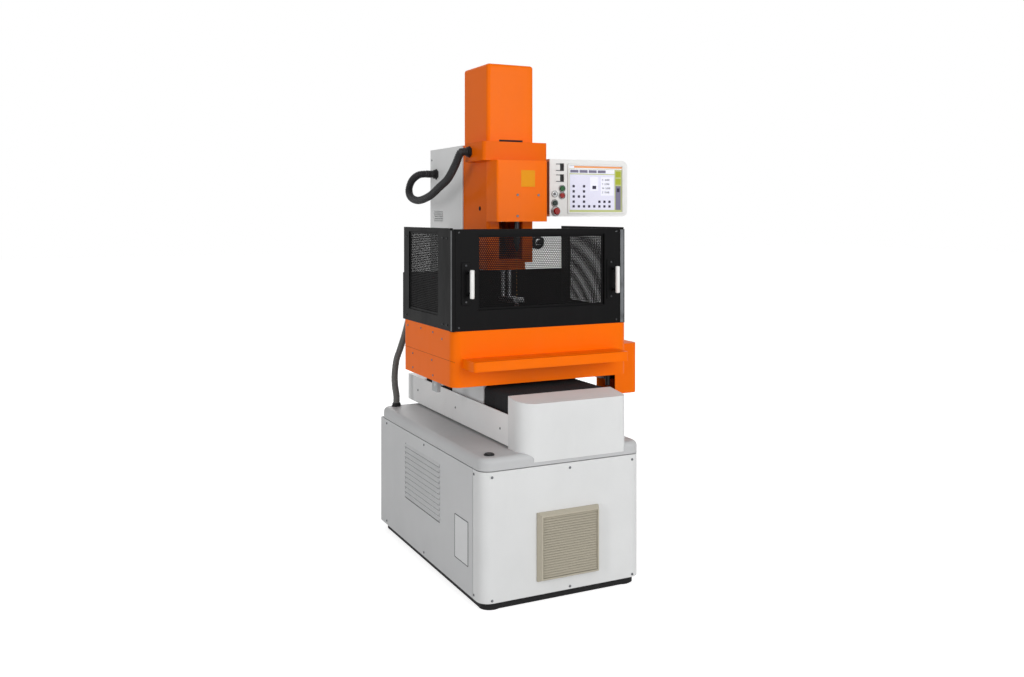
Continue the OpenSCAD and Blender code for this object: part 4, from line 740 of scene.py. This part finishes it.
# Metal strips on the left corner's side and on the right corner's front; the left one stands as a
# painted highlight of the rounded corner
cornerStripsAndHighlight = {"leftMiddle": 250.0, "leftWide": 11.0, "leftThick": 0.6, "leftIn": 0.5,
    "rightMiddle": 399.0, "rightWide": 16.0, "rightThick": 1.0, "shorter": 4.0}
cornerLow, cornerHigh = edges("corner_guides")
stripHigh = cornerHigh[2] - cornerLow[2] - cornerStripsAndHighlight["shorter"]
stripZ = (cornerLow[2] + cornerHigh[2]) / 2
build("cornerStripsAndHighlight", together([
    onFace(slab(cornerStripsAndHighlight["leftWide"], stripHigh, cornerStripsAndHighlight["leftThick"], r=1, edge=0.2),
        (cornerLow[0] + cornerStripsAndHighlight["leftIn"], cornerStripsAndHighlight["leftMiddle"], stripZ), "left"),
    onFace(slab(cornerStripsAndHighlight["rightWide"], stripHigh, cornerStripsAndHighlight["rightThick"], r=1, edge=0.3),
        (cornerStripsAndHighlight["rightMiddle"], cornerLow[1], stripZ), "front")]), "stripSteelAndHighlight", "table")
print("guard windows")

# Guard handles: white bars on dark plates. A bar's end is in steps of (inwards, less radius)
handles = {"x": (-286.0, 345.0), "z": (1078.5, 1184.5), "bar": 17.0, "aside": 10.0,
    "barEnd": ((0.0, 3.0), (0.6, 1.0), (3.0, 0.0)), "armIn": 12.0, "armOut": (2.0, 10.0),
    "armSunk": 1.0, "armRadii": (7.0, 5.0, 4.6), "plateWide": 36.0, "plateThick": 4.0,
    "screwIn": 12.0}
handleLow, handleHigh = edges("guard_handles")
handleSize, handleMid = sized("guard_handles")
plateFace = guardLow[1]
barRadius = handles["bar"] / 2
barMid = handleLow[1] + barRadius
barLow, barHigh = handles["z"]
gripZ = ([barLow + along for along, less in handles["barEnd"]]
    + [barHigh - along for along, less in handles["barEnd"][::-1]])
gripRadii = [barRadius - less for along, less in handles["barEnd"]]
armY = [plateFace - out for out in handles["armOut"]] + [barMid + barRadius - handles["armSunk"]]
plate = slab(handles["plateWide"], handleSize[2], handles["plateThick"], r=6, edge=1.0)
bars, arms, plates = [], [], []
for x in handles["x"]:
    u = x + handles["aside"]
    bars.append(swept([(u, barMid, z) for z in gripZ], gripRadii + gripRadii[::-1]))
    for z in (barLow + handles["armIn"], barHigh - handles["armIn"]):
        arms.append(swept([(u, y, z) for y in armY], handles["armRadii"], 14))
    plates.append(onFace(plate, (x, plateFace, handleMid[2]), "front"))
for name, shapes, finish, smooth in (("handleBars", bars, "panelPaint", True),
        ("handleArms", arms, "blackened", True),
        ("handlePlates", plates, "blackFrame", False)):
    build(name, together(shapes), finish, "guard", replaces=["guard_handles"], smooth=smooth)
screwsOn("handleScrews", "capMiddle",
    spotGrid(handles["x"], plateFace - handles["plateThick"],
        (handleLow[2] + handles["screwIn"], handleHigh[2] - handles["screwIn"]), "front"), "guard")
print("guard handles")

# Ballscrews, each along one axis; rolling the columns lays the thread along it
ballscrews = {"lead": 10.0, "groove": 1.6}
for letter, axis in (("y", 1), ("x", 0), ("w", 2), ("z", 2)):
    name = letter + "_screw"
    size, foot = sized(name)
    foot[axis] = edges(name)[0][axis]
    points, faces = threaded(size[axis], sorted(size)[0] / 2, ballscrews["lead"],
        ballscrews["groove"])
    build(letter + "ScrewThread", (np.roll(points, axis - 2, axis=1) + foot, faces),
        "turnedSteel", letter + "_ballscrew", replaces=[name], smooth=True)
print("ballscrews")

# Control panel: its display's colours, each with its glow and the depth of its dots
shown = {
    "Frame": ("#b9bf86", 0.2, 0.1), "Field": ("#d5d4e4", 0.3, 0.08),
    "Bar": ("#e09a62", 0.25, 0.08), "Side": ("#777389", 0.2, 0.1),
    "Keys": ("#3b3748", 0.1, 0.1), "Digits": ("#26243a", 0.05, 0.05),
    "Lime": ("#a3ab3c", 0.2, 0.1), "Pale": ("#e2e2ec", 0.3, 0.05),
}
for name, (colour, glow, speckle) in shown.items():
    finishes["display" + name] = lit("display" + name, colour, glow, speckle)
screenLow, panelLow = edges("screen")[0], edges("panel_housing")[0]
screenSize, screenMid = sized("screen")
panelSize, panelMid = sized("panel_housing")


def onScreen(rects, lift):
    # Thin plates, each (left, bottom, width, height) as shares of the screen
    w, h = screenSize[0], screenSize[2]
    out = []
    for left, bottom, wide, high in rects:
        at = (screenLow[0] + (left + wide / 2) * w, screenLow[1] - lift,
            screenLow[2] + (bottom + high / 2) * h)
        out.append(onFace(slab(wide * w, high * h, 0.25, r=0.8, edge=0.05, steps=3), at, "front"))
    return together(out)


# Keys of the picture, in columns from the left and rows from the foot, as shares of the screen
keyColumns = [0.07 + 0.096 * k for k in range(8)]
keyRows = {0.10: range(8), 0.20: (0, 2, 5, 6, 7), 0.31: (0, 1, 2), 0.42: (0, 2), 0.53: (0, 2)}
keys = [(keyColumns[k], row, 0.042, 0.052) for row, some in keyRows.items() for k in some]
screenParts = {
    "Frame": ("Frame", [(0.0, 0.0, 1.0, 0.93)], 0.0),
    "Top": ("Pale", [(0.0, 0.93, 1.0, 0.07)], 0.0),
    "Bar": ("Bar", [(0.10, 0.95, 0.90, 0.04)], 0.3),
    "Field": ("Field", [(0.02, 0.05, 0.84, 0.76)], 0.3),
    "Head": ("Pale", [(0.02, 0.83, 0.84, 0.09)], 0.3),
    "Side": ("Side", [(0.88, 0.05, 0.10, 0.52)], 0.3),
    "LimeKeys": ("Lime", [(0.88, 0.60, 0.10, 0.13), (0.88, 0.76, 0.10, 0.13)], 0.3),
    "PaleBoxes": ("Pale", [(0.60, 0.36, 0.24, 0.40), (0.40, 0.46, 0.15, 0.30)], 0.6),
    "Keys": ("Keys", keys + [(0.905, 0.44, 0.05, 0.08), (0.44, 0.5, 0.07, 0.07)], 0.9),
    "Buttons": ("Side", [(0.03 + 0.17 * k, 0.845, 0.15, 0.06) for k in range(4)], 0.6),
}
for name, (tone, rects, lift) in screenParts.items():
    build("display" + name, onScreen(rects, lift), "display" + tone)


def written(name, words, at, height, finish):
    # Letters made a mesh, 0.3 mm thick, on a front face; the left end is at the point given
    curve = bpy.data.curves.new(name, "FONT")
    curve.body = words
    curve.size = height
    curve.extrude = 0.15
    source = added(name + "Curve", curve)
    bpy.context.view_layer.update()
    mesh = source.evaluated_get(bpy.context.evaluated_depsgraph_get()).to_mesh()
    points = np.empty(len(mesh.vertices) * 3)
    mesh.vertices.foreach_get("co", points)
    faces = [list(p.vertices) for p in mesh.polygons]
    bpy.data.objects.remove(source)
    return build(name, onFace((points.reshape(-1, 3), faces), at, "front"), finish)


readouts = {"height": 11.0, "left": 0.62, "top": 0.68, "step": 0.09, "lift": 1.1,
    "axes": "XYWZ", "digits": "0.000"}
for k, axis in enumerate(readouts["axes"]):
    x = screenLow[0] + readouts["left"] * screenSize[0]
    z = screenLow[2] + (readouts["top"] - readouts["step"] * k) * screenSize[2]
    written("displayRow" + axis, axis + "  " + readouts["digits"],
        (x, screenLow[1] - readouts["lift"], z), readouts["height"], "displayDigits")
bezel = {"over": 14.0, "wide": 7.5, "thick": 2.6}
frameRim = rim(*(screenSize[[0, 2]] + bezel["over"]), bezel["wide"], bezel["thick"], r=6)
build("screenBezel", onFace(frameRim, (screenMid[0], panelLow[1], screenMid[2]), "front"),
    "panelPaint")

# Rings round the controls, at (x, z) with the outer radius
controls = {
    "green_button": (268, 1498, 15.5), "red_button": (268, 1469, 15.5),
    "black_button": (232.5, 1437, 15.5), "stop_button": (237, 1403, 21.0),
    "key_switch": (232.5, 1475, 14.5),
}
controlRings = {"wide": 2.8, "thick": 2.4, "sunk": 0.1}


def ringsRound(names):
    ringY = panelLow[1] + controlRings["sunk"]
    rings = []
    for x, z, r in (controls[name] for name in names):
        ring = rim(2 * r, 2 * r, controlRings["wide"], controlRings["thick"], r=r, steps=9)
        rings.append(onFace(ring, (x, ringY, z), "front"))
    return together(rings)


build("controlRings", ringsRound(["green_button", "red_button", "black_button", "stop_button"]),
    "ringGreyAndShade", smooth=True)
build("keyRing", ringsRound(["key_switch"]), "bright", smooth=True)

# Grey strip along the housing's left side, painted shade on that face
panelShadeStrip = {"narrower": 8, "shorter": 20, "thick": 0.6}
plateOn("panelSidePaintedShade", (panelSize[1] - panelShadeStrip["narrower"],
    panelSize[2] - panelShadeStrip["shorter"], panelShadeStrip["thick"]),
    (panelLow[0], *panelMid[1:]), "left", "ringGreyAndShade", r=4, edge=0.2)

# Short grey lines at the foot and the head of both sockets
sockets = {"x": (239.0, 258.0), "z": ((1526, 1558), (1572, 1604)), "line": 3.2, "up": 2, "down": 3}
markLong, markX = spanned(sockets["x"])
mark = slab(markLong, sockets["line"], 0.4, r=0.6, edge=0.1)
build("socketMarks", together([onFace(mark, (markX, panelLow[1], z), "front")
    for low, high in sockets["z"] for z in (low + sockets["up"], high - sockets["down"])]),
    "framePaintAndShade")
print("control panel")

# Screws and blank plates on the cabinet, the bed covers, the tray and the quill
frontFace = edges("front_panel")[0][1]
hoodOut = 6.0  # how far the louvres' hoods stand out of their sheets
sidePanelsLow, sidePanelsHigh = edges("side_panels")
sideFace = sidePanelsLow[0] + hoodOut
coverFace = edges("spindle_cover")[0][1]
trayLow, trayHigh = edges("tray")
bedCoverLow, bedCoverHigh = edges("bed_covers")
cabinetScrews = {"middleX": 22, "cornerX": (-290, 290), "frontZ": (470.6, 40.3),
    "sideY": (551, 64, 1000), "sideZ": (473, 46)}
screwsOn("cabinetScrews", "panLarge",
    spotGrid([cabinetScrews["middleX"]], frontFace, cabinetScrews["frontZ"], "front")
    + [((x, frontFace, z), "front") for z in cabinetScrews["frontZ"]
        for x in cabinetScrews["cornerX"]]
    + bothSides(sideFace, -sideFace, [(y, z) for z in cabinetScrews["sideZ"]
        for y in cabinetScrews["sideY"]]))
bedCoverScrews = [(177, 597), (1029, 602), (600, 600)]
screwsOn("bedCoverScrews", "panMiddle", bothSides(bedCoverLow[0], bedCoverHigh[0], bedCoverScrews))

# All of the side's screws are on the left, and on the right those behind rightFrom
trayScrews = {"side": [(718, 933), (569, 936), (439, 934), (347, 918), (659, 825), (450, 825),
    (659, 767), (439, 767)], "rightFrom": 500,
    "backX": (-240, 44, 330), "backZ": (790, 925)}
screwsOn("trayScrews", "panMiddle",
    [((trayLow[0], y, z), "left") for y, z in trayScrews["side"]]
    + [((trayHigh[0], y, z), "right") for y, z in trayScrews["side"]
        if y > trayScrews["rightFrom"]]
    + spotGrid(trayScrews["backX"], trayHigh[1], trayScrews["backZ"], "back"), "table")
traySeam = {"size": (540, 1.4, 0.15), "y": 490, "z": 845}
plateOn("traySeam", traySeam["size"], (trayLow[0], traySeam["y"], traySeam["z"]), "left", "seam",
    "table", r=0.4, edge=0.05, steps=2)
spindleCoverScrews = [(21, 1468), (116, 1468), (21, 1383)]
screwsOn("spindleCoverScrews", "capLarge",
    [((x, coverFace, z), "front") for x, z in spindleCoverScrews], "quill")
spindlePlate = {"size": (63, 67, 0.8), "x": 68.5, "z": 1534.5}
plateOn("spindlePlate", spindlePlate["size"], (spindlePlate["x"], coverFace, spindlePlate["z"]),
    "front", "yellowPlate", "quill", edge=0.3)
cabinetPlate = {"wide": 118, "high": 155, "rim": 3, "y": 176, "z": 208.5}
plateAt = (sideFace, cabinetPlate["y"], cabinetPlate["z"])
plateOn("cabinetPlate", (cabinetPlate["wide"], cabinetPlate["high"], 0.8), plateAt, "left",
    "whitePlate", r=3, edge=0.3)
plateRim = rim(cabinetPlate["wide"] + 2 * cabinetPlate["rim"],
    cabinetPlate["high"] + 2 * cabinetPlate["rim"], cabinetPlate["rim"], 1.2, edge=0.3)
build("cabinetPlateRim", onFace(plateRim, plateAt, "left"), "framePaintAndShade")
print("screws and plates")

# Plinth skirt that also stands as painted shade under the cabinet, filter cloth, and painted-shade
# linings behind the slots
plinthAndShade = {"inset": 16.0, "low": 3.0, "wall": 12.0, "gapAndShadow": 0.5, "corner": 34}
cabinetSize, cabinetMid = sized("lid")
# Black skirt round the cabinet's foot: a plinth, and painted shade in the gap under the cabinet
shadeSkirt = rim(*(cabinetSize[:2] - 2 * plinthAndShade["inset"]), plinthAndShade["wall"],
    edges("feet")[1][2] - plinthAndShade["low"] - plinthAndShade["gapAndShadow"], r=plinthAndShade["corner"], edge=0.5, steps=8)
build("plinthShadeSkirt", onFace(shadeSkirt, (*cabinetMid[:2], plinthAndShade["low"]), "up"), "rubber")
grilleSize, grilleMid = sized("filter_grille")
filterMat = {"smaller": 24, "thick": 3.0, "y": -1.0}
plateOn("filterMat", (*(grilleSize[[0, 2]] - filterMat["smaller"]), filterMat["thick"]),
    (grilleMid[0], filterMat["y"], grilleMid[2]), "front", "filterCloth", edge=0.8)

# Behind the louvres a dark lining, painted shade inside the cabinet; on them darker strips at the
# hoods' lips, partly their bare edges and partly painted shade below each hood; and painted shadow
# strips below and behind the louvre field
louvre = {"low": 212.0, "high": 440.0, "front": 384.0, "back": 758.0, "count": 11, "start": 4.66,
    "lip": 1.5, "gapAndShadow": 3.0, "shadowOver": 8.0, "backShadow": 4.5, "backShadowOut": 3.0,
    "backShadowShorter": 4.0, "shadeLiningOver": 16.0, "shadeLiningIn": 14.0}
louvreTall, louvreZ = spanned((louvre["low"], louvre["high"]))
louvreLong, louvreY = spanned((louvre["front"], louvre["back"]))
# Dark lining inside the side panels: painted shade behind the louvre slots
shadeLining = slab(louvreLong + louvre["shadeLiningOver"], louvreTall + louvre["shadeLiningOver"], 2.0, edge=0.5)
build("louvreShadeLinings", together([
    onFace(shadeLining, (x, louvreY, louvreZ), side)
    for x, side in ((sidePanelsLow[0] + louvre["shadeLiningIn"], "left"),
        (sidePanelsHigh[0] - louvre["shadeLiningIn"], "right"))]), "paintedShadeInside")
# Darker strip on each hood's lip: its bare edge and painted shade below the hood
lip = slab(louvreLong, louvre["lip"], 0.2, r=0.3, edge=0.05, steps=2)
# Painted shadow strips below the louvre field and behind it
lowShadow = slab(louvreLong + louvre["shadowOver"], louvre["gapAndShadow"], 0.3, r=0.5, edge=0.1, steps=2)
backShadow = slab(louvre["backShadow"], louvreTall - louvre["backShadowShorter"], 0.3, r=0.5, edge=0.1,
    steps=2)
lipShades, shadowStrips = [], []
for x, out, side in ((sideFace, -hoodOut, "left"), (-sideFace, hoodOut, "right")):
    for k in range(louvre["count"]):
        z = louvre["low"] + k * (louvreTall / louvre["count"]) + louvre["start"] + louvre["lip"] / 2
        lipShades.append(onFace(lip, (x + out, louvreY, z), side))
    shadowStrips.append(onFace(lowShadow, (x, louvreY + louvre["shadowOver"] / 2,
        louvre["low"] - louvre["gapAndShadow"] / 2), side))
    shadowStrips.append(onFace(backShadow, (x, louvre["back"] + louvre["backShadowOut"], louvreZ), side))
build("louvreLipShades", together(lipShades), "framePaintAndShade")
build("louvreShadows", together(shadowStrips), "darkPaintAndShadow")
print("plinth and linings")

# Dark plate as painted shade in the upper cover's slot, grommet on the head and ring on the round
# fitting
upperLow, upperHigh = edges("upper_cover")
coverSlotShade = {"size": (108, 10, 0.6), "x": 44, "up": 6.5}
# A dark plate on the face: painted shade in the slot
plateOn("coverSlotShade", coverSlotShade["size"],
    (coverSlotShade["x"], upperLow[1], upperLow[2] + coverSlotShade["up"]), "front", "paintedShadeInside",
    "head", edge=0.2)
headGrommet = {"profile": [(9, 0), (9, 1.6), (6.5, 2.6), (5.5, 0.8)], "y": 605, "z": 1414}
build("headGrommet", onFace(turned(headGrommet["profile"]),
    (edges("head_body")[0][0], headGrommet["y"], headGrommet["z"]), "left"),
    "rubber", "head", smooth=True)
fittingRing = {"profile": [(15, 0), (15, 1.2), (12, 1.8), (9.5, 0.4)], "at": (177, 538, 1272)}
build("fittingRing", onFace(turned(fittingRing["profile"], 28), fittingRing["at"], "front"),
    "steel", "head", smooth=True)
print("slots and grommets")

# Screws on the column, the back, the upper cover and the guard
columnLow, columnHigh = edges("column_cover")
columnScrews = {"side": [(982, 690), (982, 1000), (982, 1240), (1135, 690), (1135, 1240),
    (1135, 1640), (800, 1200), (800, 1640)],
    "backZ": (700, 1010, 1330, 1640), "in": 18, "sunk": 2.3}
screwsOn("columnScrews", "panMiddle",
    bothSides(columnLow[0] + hoodOut, columnHigh[0], columnScrews["side"])
    + spotGrid((columnLow[0] + columnScrews["in"], columnHigh[0] - columnScrews["in"]),
        columnHigh[1] - columnScrews["sunk"], columnScrews["backZ"], "back"))
rearLow, rearHigh = edges("rear_panel")
rearScrews = {"in": 22, "up": 16}
screwsOn("rearScrews", "panLarge",
    spotGrid((rearLow[0] + rearScrews["in"], 0, rearHigh[0] - rearScrews["in"]),
        rearHigh[1] - hoodOut,
        (rearLow[2] + rearScrews["up"], rearHigh[2] - rearScrews["up"]), "back"))
upperScrews = {"in": 30, "up": 60, "down": 40}
screwsOn("upperCoverScrews", "panSmall",
    [((upperHigh[0], y, z), "right")
        for y in (upperLow[1] + upperScrews["in"], upperHigh[1] - upperScrews["in"])
        for z in (upperLow[2] + upperScrews["up"], upperHigh[2] - upperScrews["down"])], "head")
guardScrews = {"in": 14, "up": 14, "down": 12}
screwsOn("guardScrews", "capSmall",
    spotGrid((guardLow[0] + guardScrews["in"], guardHigh[0] - guardScrews["in"]), guardLow[1],
        (guardLow[2] + guardScrews["up"], guardHigh[2] - guardScrews["down"]), "front"), "guard")
wallScrews = {"y": (300, 340, 735), "z": (975, 1300), "out": 0.2}
screwsOn("wallScrews", "capSmall",
    bothSides(wallLow[0] - wallScrews["out"], wallHigh[0] + wallScrews["out"],
        [(y, z) for y in wallScrews["y"] for z in wallScrews["z"]]), "table")
print("small screws")

# Floor, light and camera
studio = {"floor": 0.7, "floorGlow": 0.74, "room": 0.42, "backdrop": 1.0, "reach": 30.0}


def seenDirectly(tree):
    # 1 for what the camera sees, straight, in a mirror or through glass, and 0 for lighting
    rays = node(tree, "ShaderNodeLightPath")
    seen = mathNode(tree, "MAXIMUM", rays.outputs["Is Camera Ray"], rays.outputs["Is Glossy Ray"])
    return mathNode(tree, "MAXIMUM", seen, rays.outputs["Is Transmission Ray"])


floorMaterial, tree, shader = newMaterial("floorWhite")
setInputs(shader, {"Base Color": (*[studio["floor"]] * 3, 1), "Roughness": 0.9,
    "Specular IOR Level": 0.0})
glow = mathNode(tree, "MULTIPLY", seenDirectly(tree), studio["floorGlow"])
lift = node(tree, "ShaderNodeEmission", [("Color", (1, 1, 1, 1)), ("Strength", glow)])
both = node(tree, "ShaderNodeAddShader", [(0, shader.outputs[0]), (1, lift.outputs[0])])
tree.links.new(both.outputs[0], tree.nodes["Material Output"].inputs["Surface"])
floorMesh = bpy.data.meshes.new("floor")
reach = studio["reach"]
floorMesh.from_pydata([(-reach, -reach, 0), (reach, -reach, 0), (reach, reach, 0),
    (-reach, reach, 0)], [], [(0, 1, 2, 3)])
floorMesh.materials.append(floorMaterial)
floor = added("floor", floorMesh)

world = bpy.data.worlds.new("studio")
bpy.context.scene.world = world
world.use_nodes = True
tree = world.node_tree
tree.nodes.clear()
room, white = [node(tree, "ShaderNodeBackground", [("Color", (1, 1, 1, 1)),
    ("Strength", studio[key])]).outputs[0]
    for key in ("room", "backdrop")]
mix = node(tree, "ShaderNodeMixShader", [(0, seenDirectly(tree)), (1, room), (2, white)])
output = node(tree, "ShaderNodeOutputWorld")
tree.links.new(mix.outputs[0], output.inputs["Surface"])

lamps = {
    "frontLamp": {"at": (1.2, -5.5, 2.2), "aim": (0, 0, 0.9), "size": 3.0, "power": 150},
    "leftLamp": {"at": (-5.0, -2.6, 1.9), "aim": (0, 0, 1.1), "size": 0.6, "power": 70,
        "tall": 2.6},
    "rearLamp": {"at": (1.5, 5.5, 3.0), "aim": (0, 0, 0.9), "size": 3.0, "power": 60},
    "topLamp": {"at": (0.5, -0.5, 5.5), "aim": (0, 0, 0.5), "size": 4.0, "power": 12},
}
for name, lamp in lamps.items():
    data = bpy.data.lights.new(name, "AREA")
    data.energy = lamp["power"]
    data.size = lamp["size"]
    if "tall" in lamp:
        data.shape = "RECTANGLE"
        data.size_y = lamp["tall"]
    light = added(name, data)
    light.location = lamp["at"]
    aim = Vector(lamp["aim"]) - Vector(lamp["at"])
    light.rotation_euler = aim.to_track_quat("-Z", "Y").to_euler()

# Level camera; the shift puts the horizon where the photograph has it, 124.3 pixels up
view = {"at": (-1.8666, -3.6597, 1.3905), "turn": -26.27, "lens": 34.43, "shift": -0.1214}
camera = added("camera", bpy.data.cameras.new("camera"))
camera.location = view["at"]
camera.rotation_euler = (math.pi / 2, 0, math.radians(view["turn"]))
camera.data.sensor_width = 36
camera.data.lens = view["lens"]
camera.data.shift_y = view["shift"]
camera.data.clip_end = 100
bpy.context.scene.camera = camera
bpy.context.scene.view_settings.view_transform = "Standard"

print("scene finished")
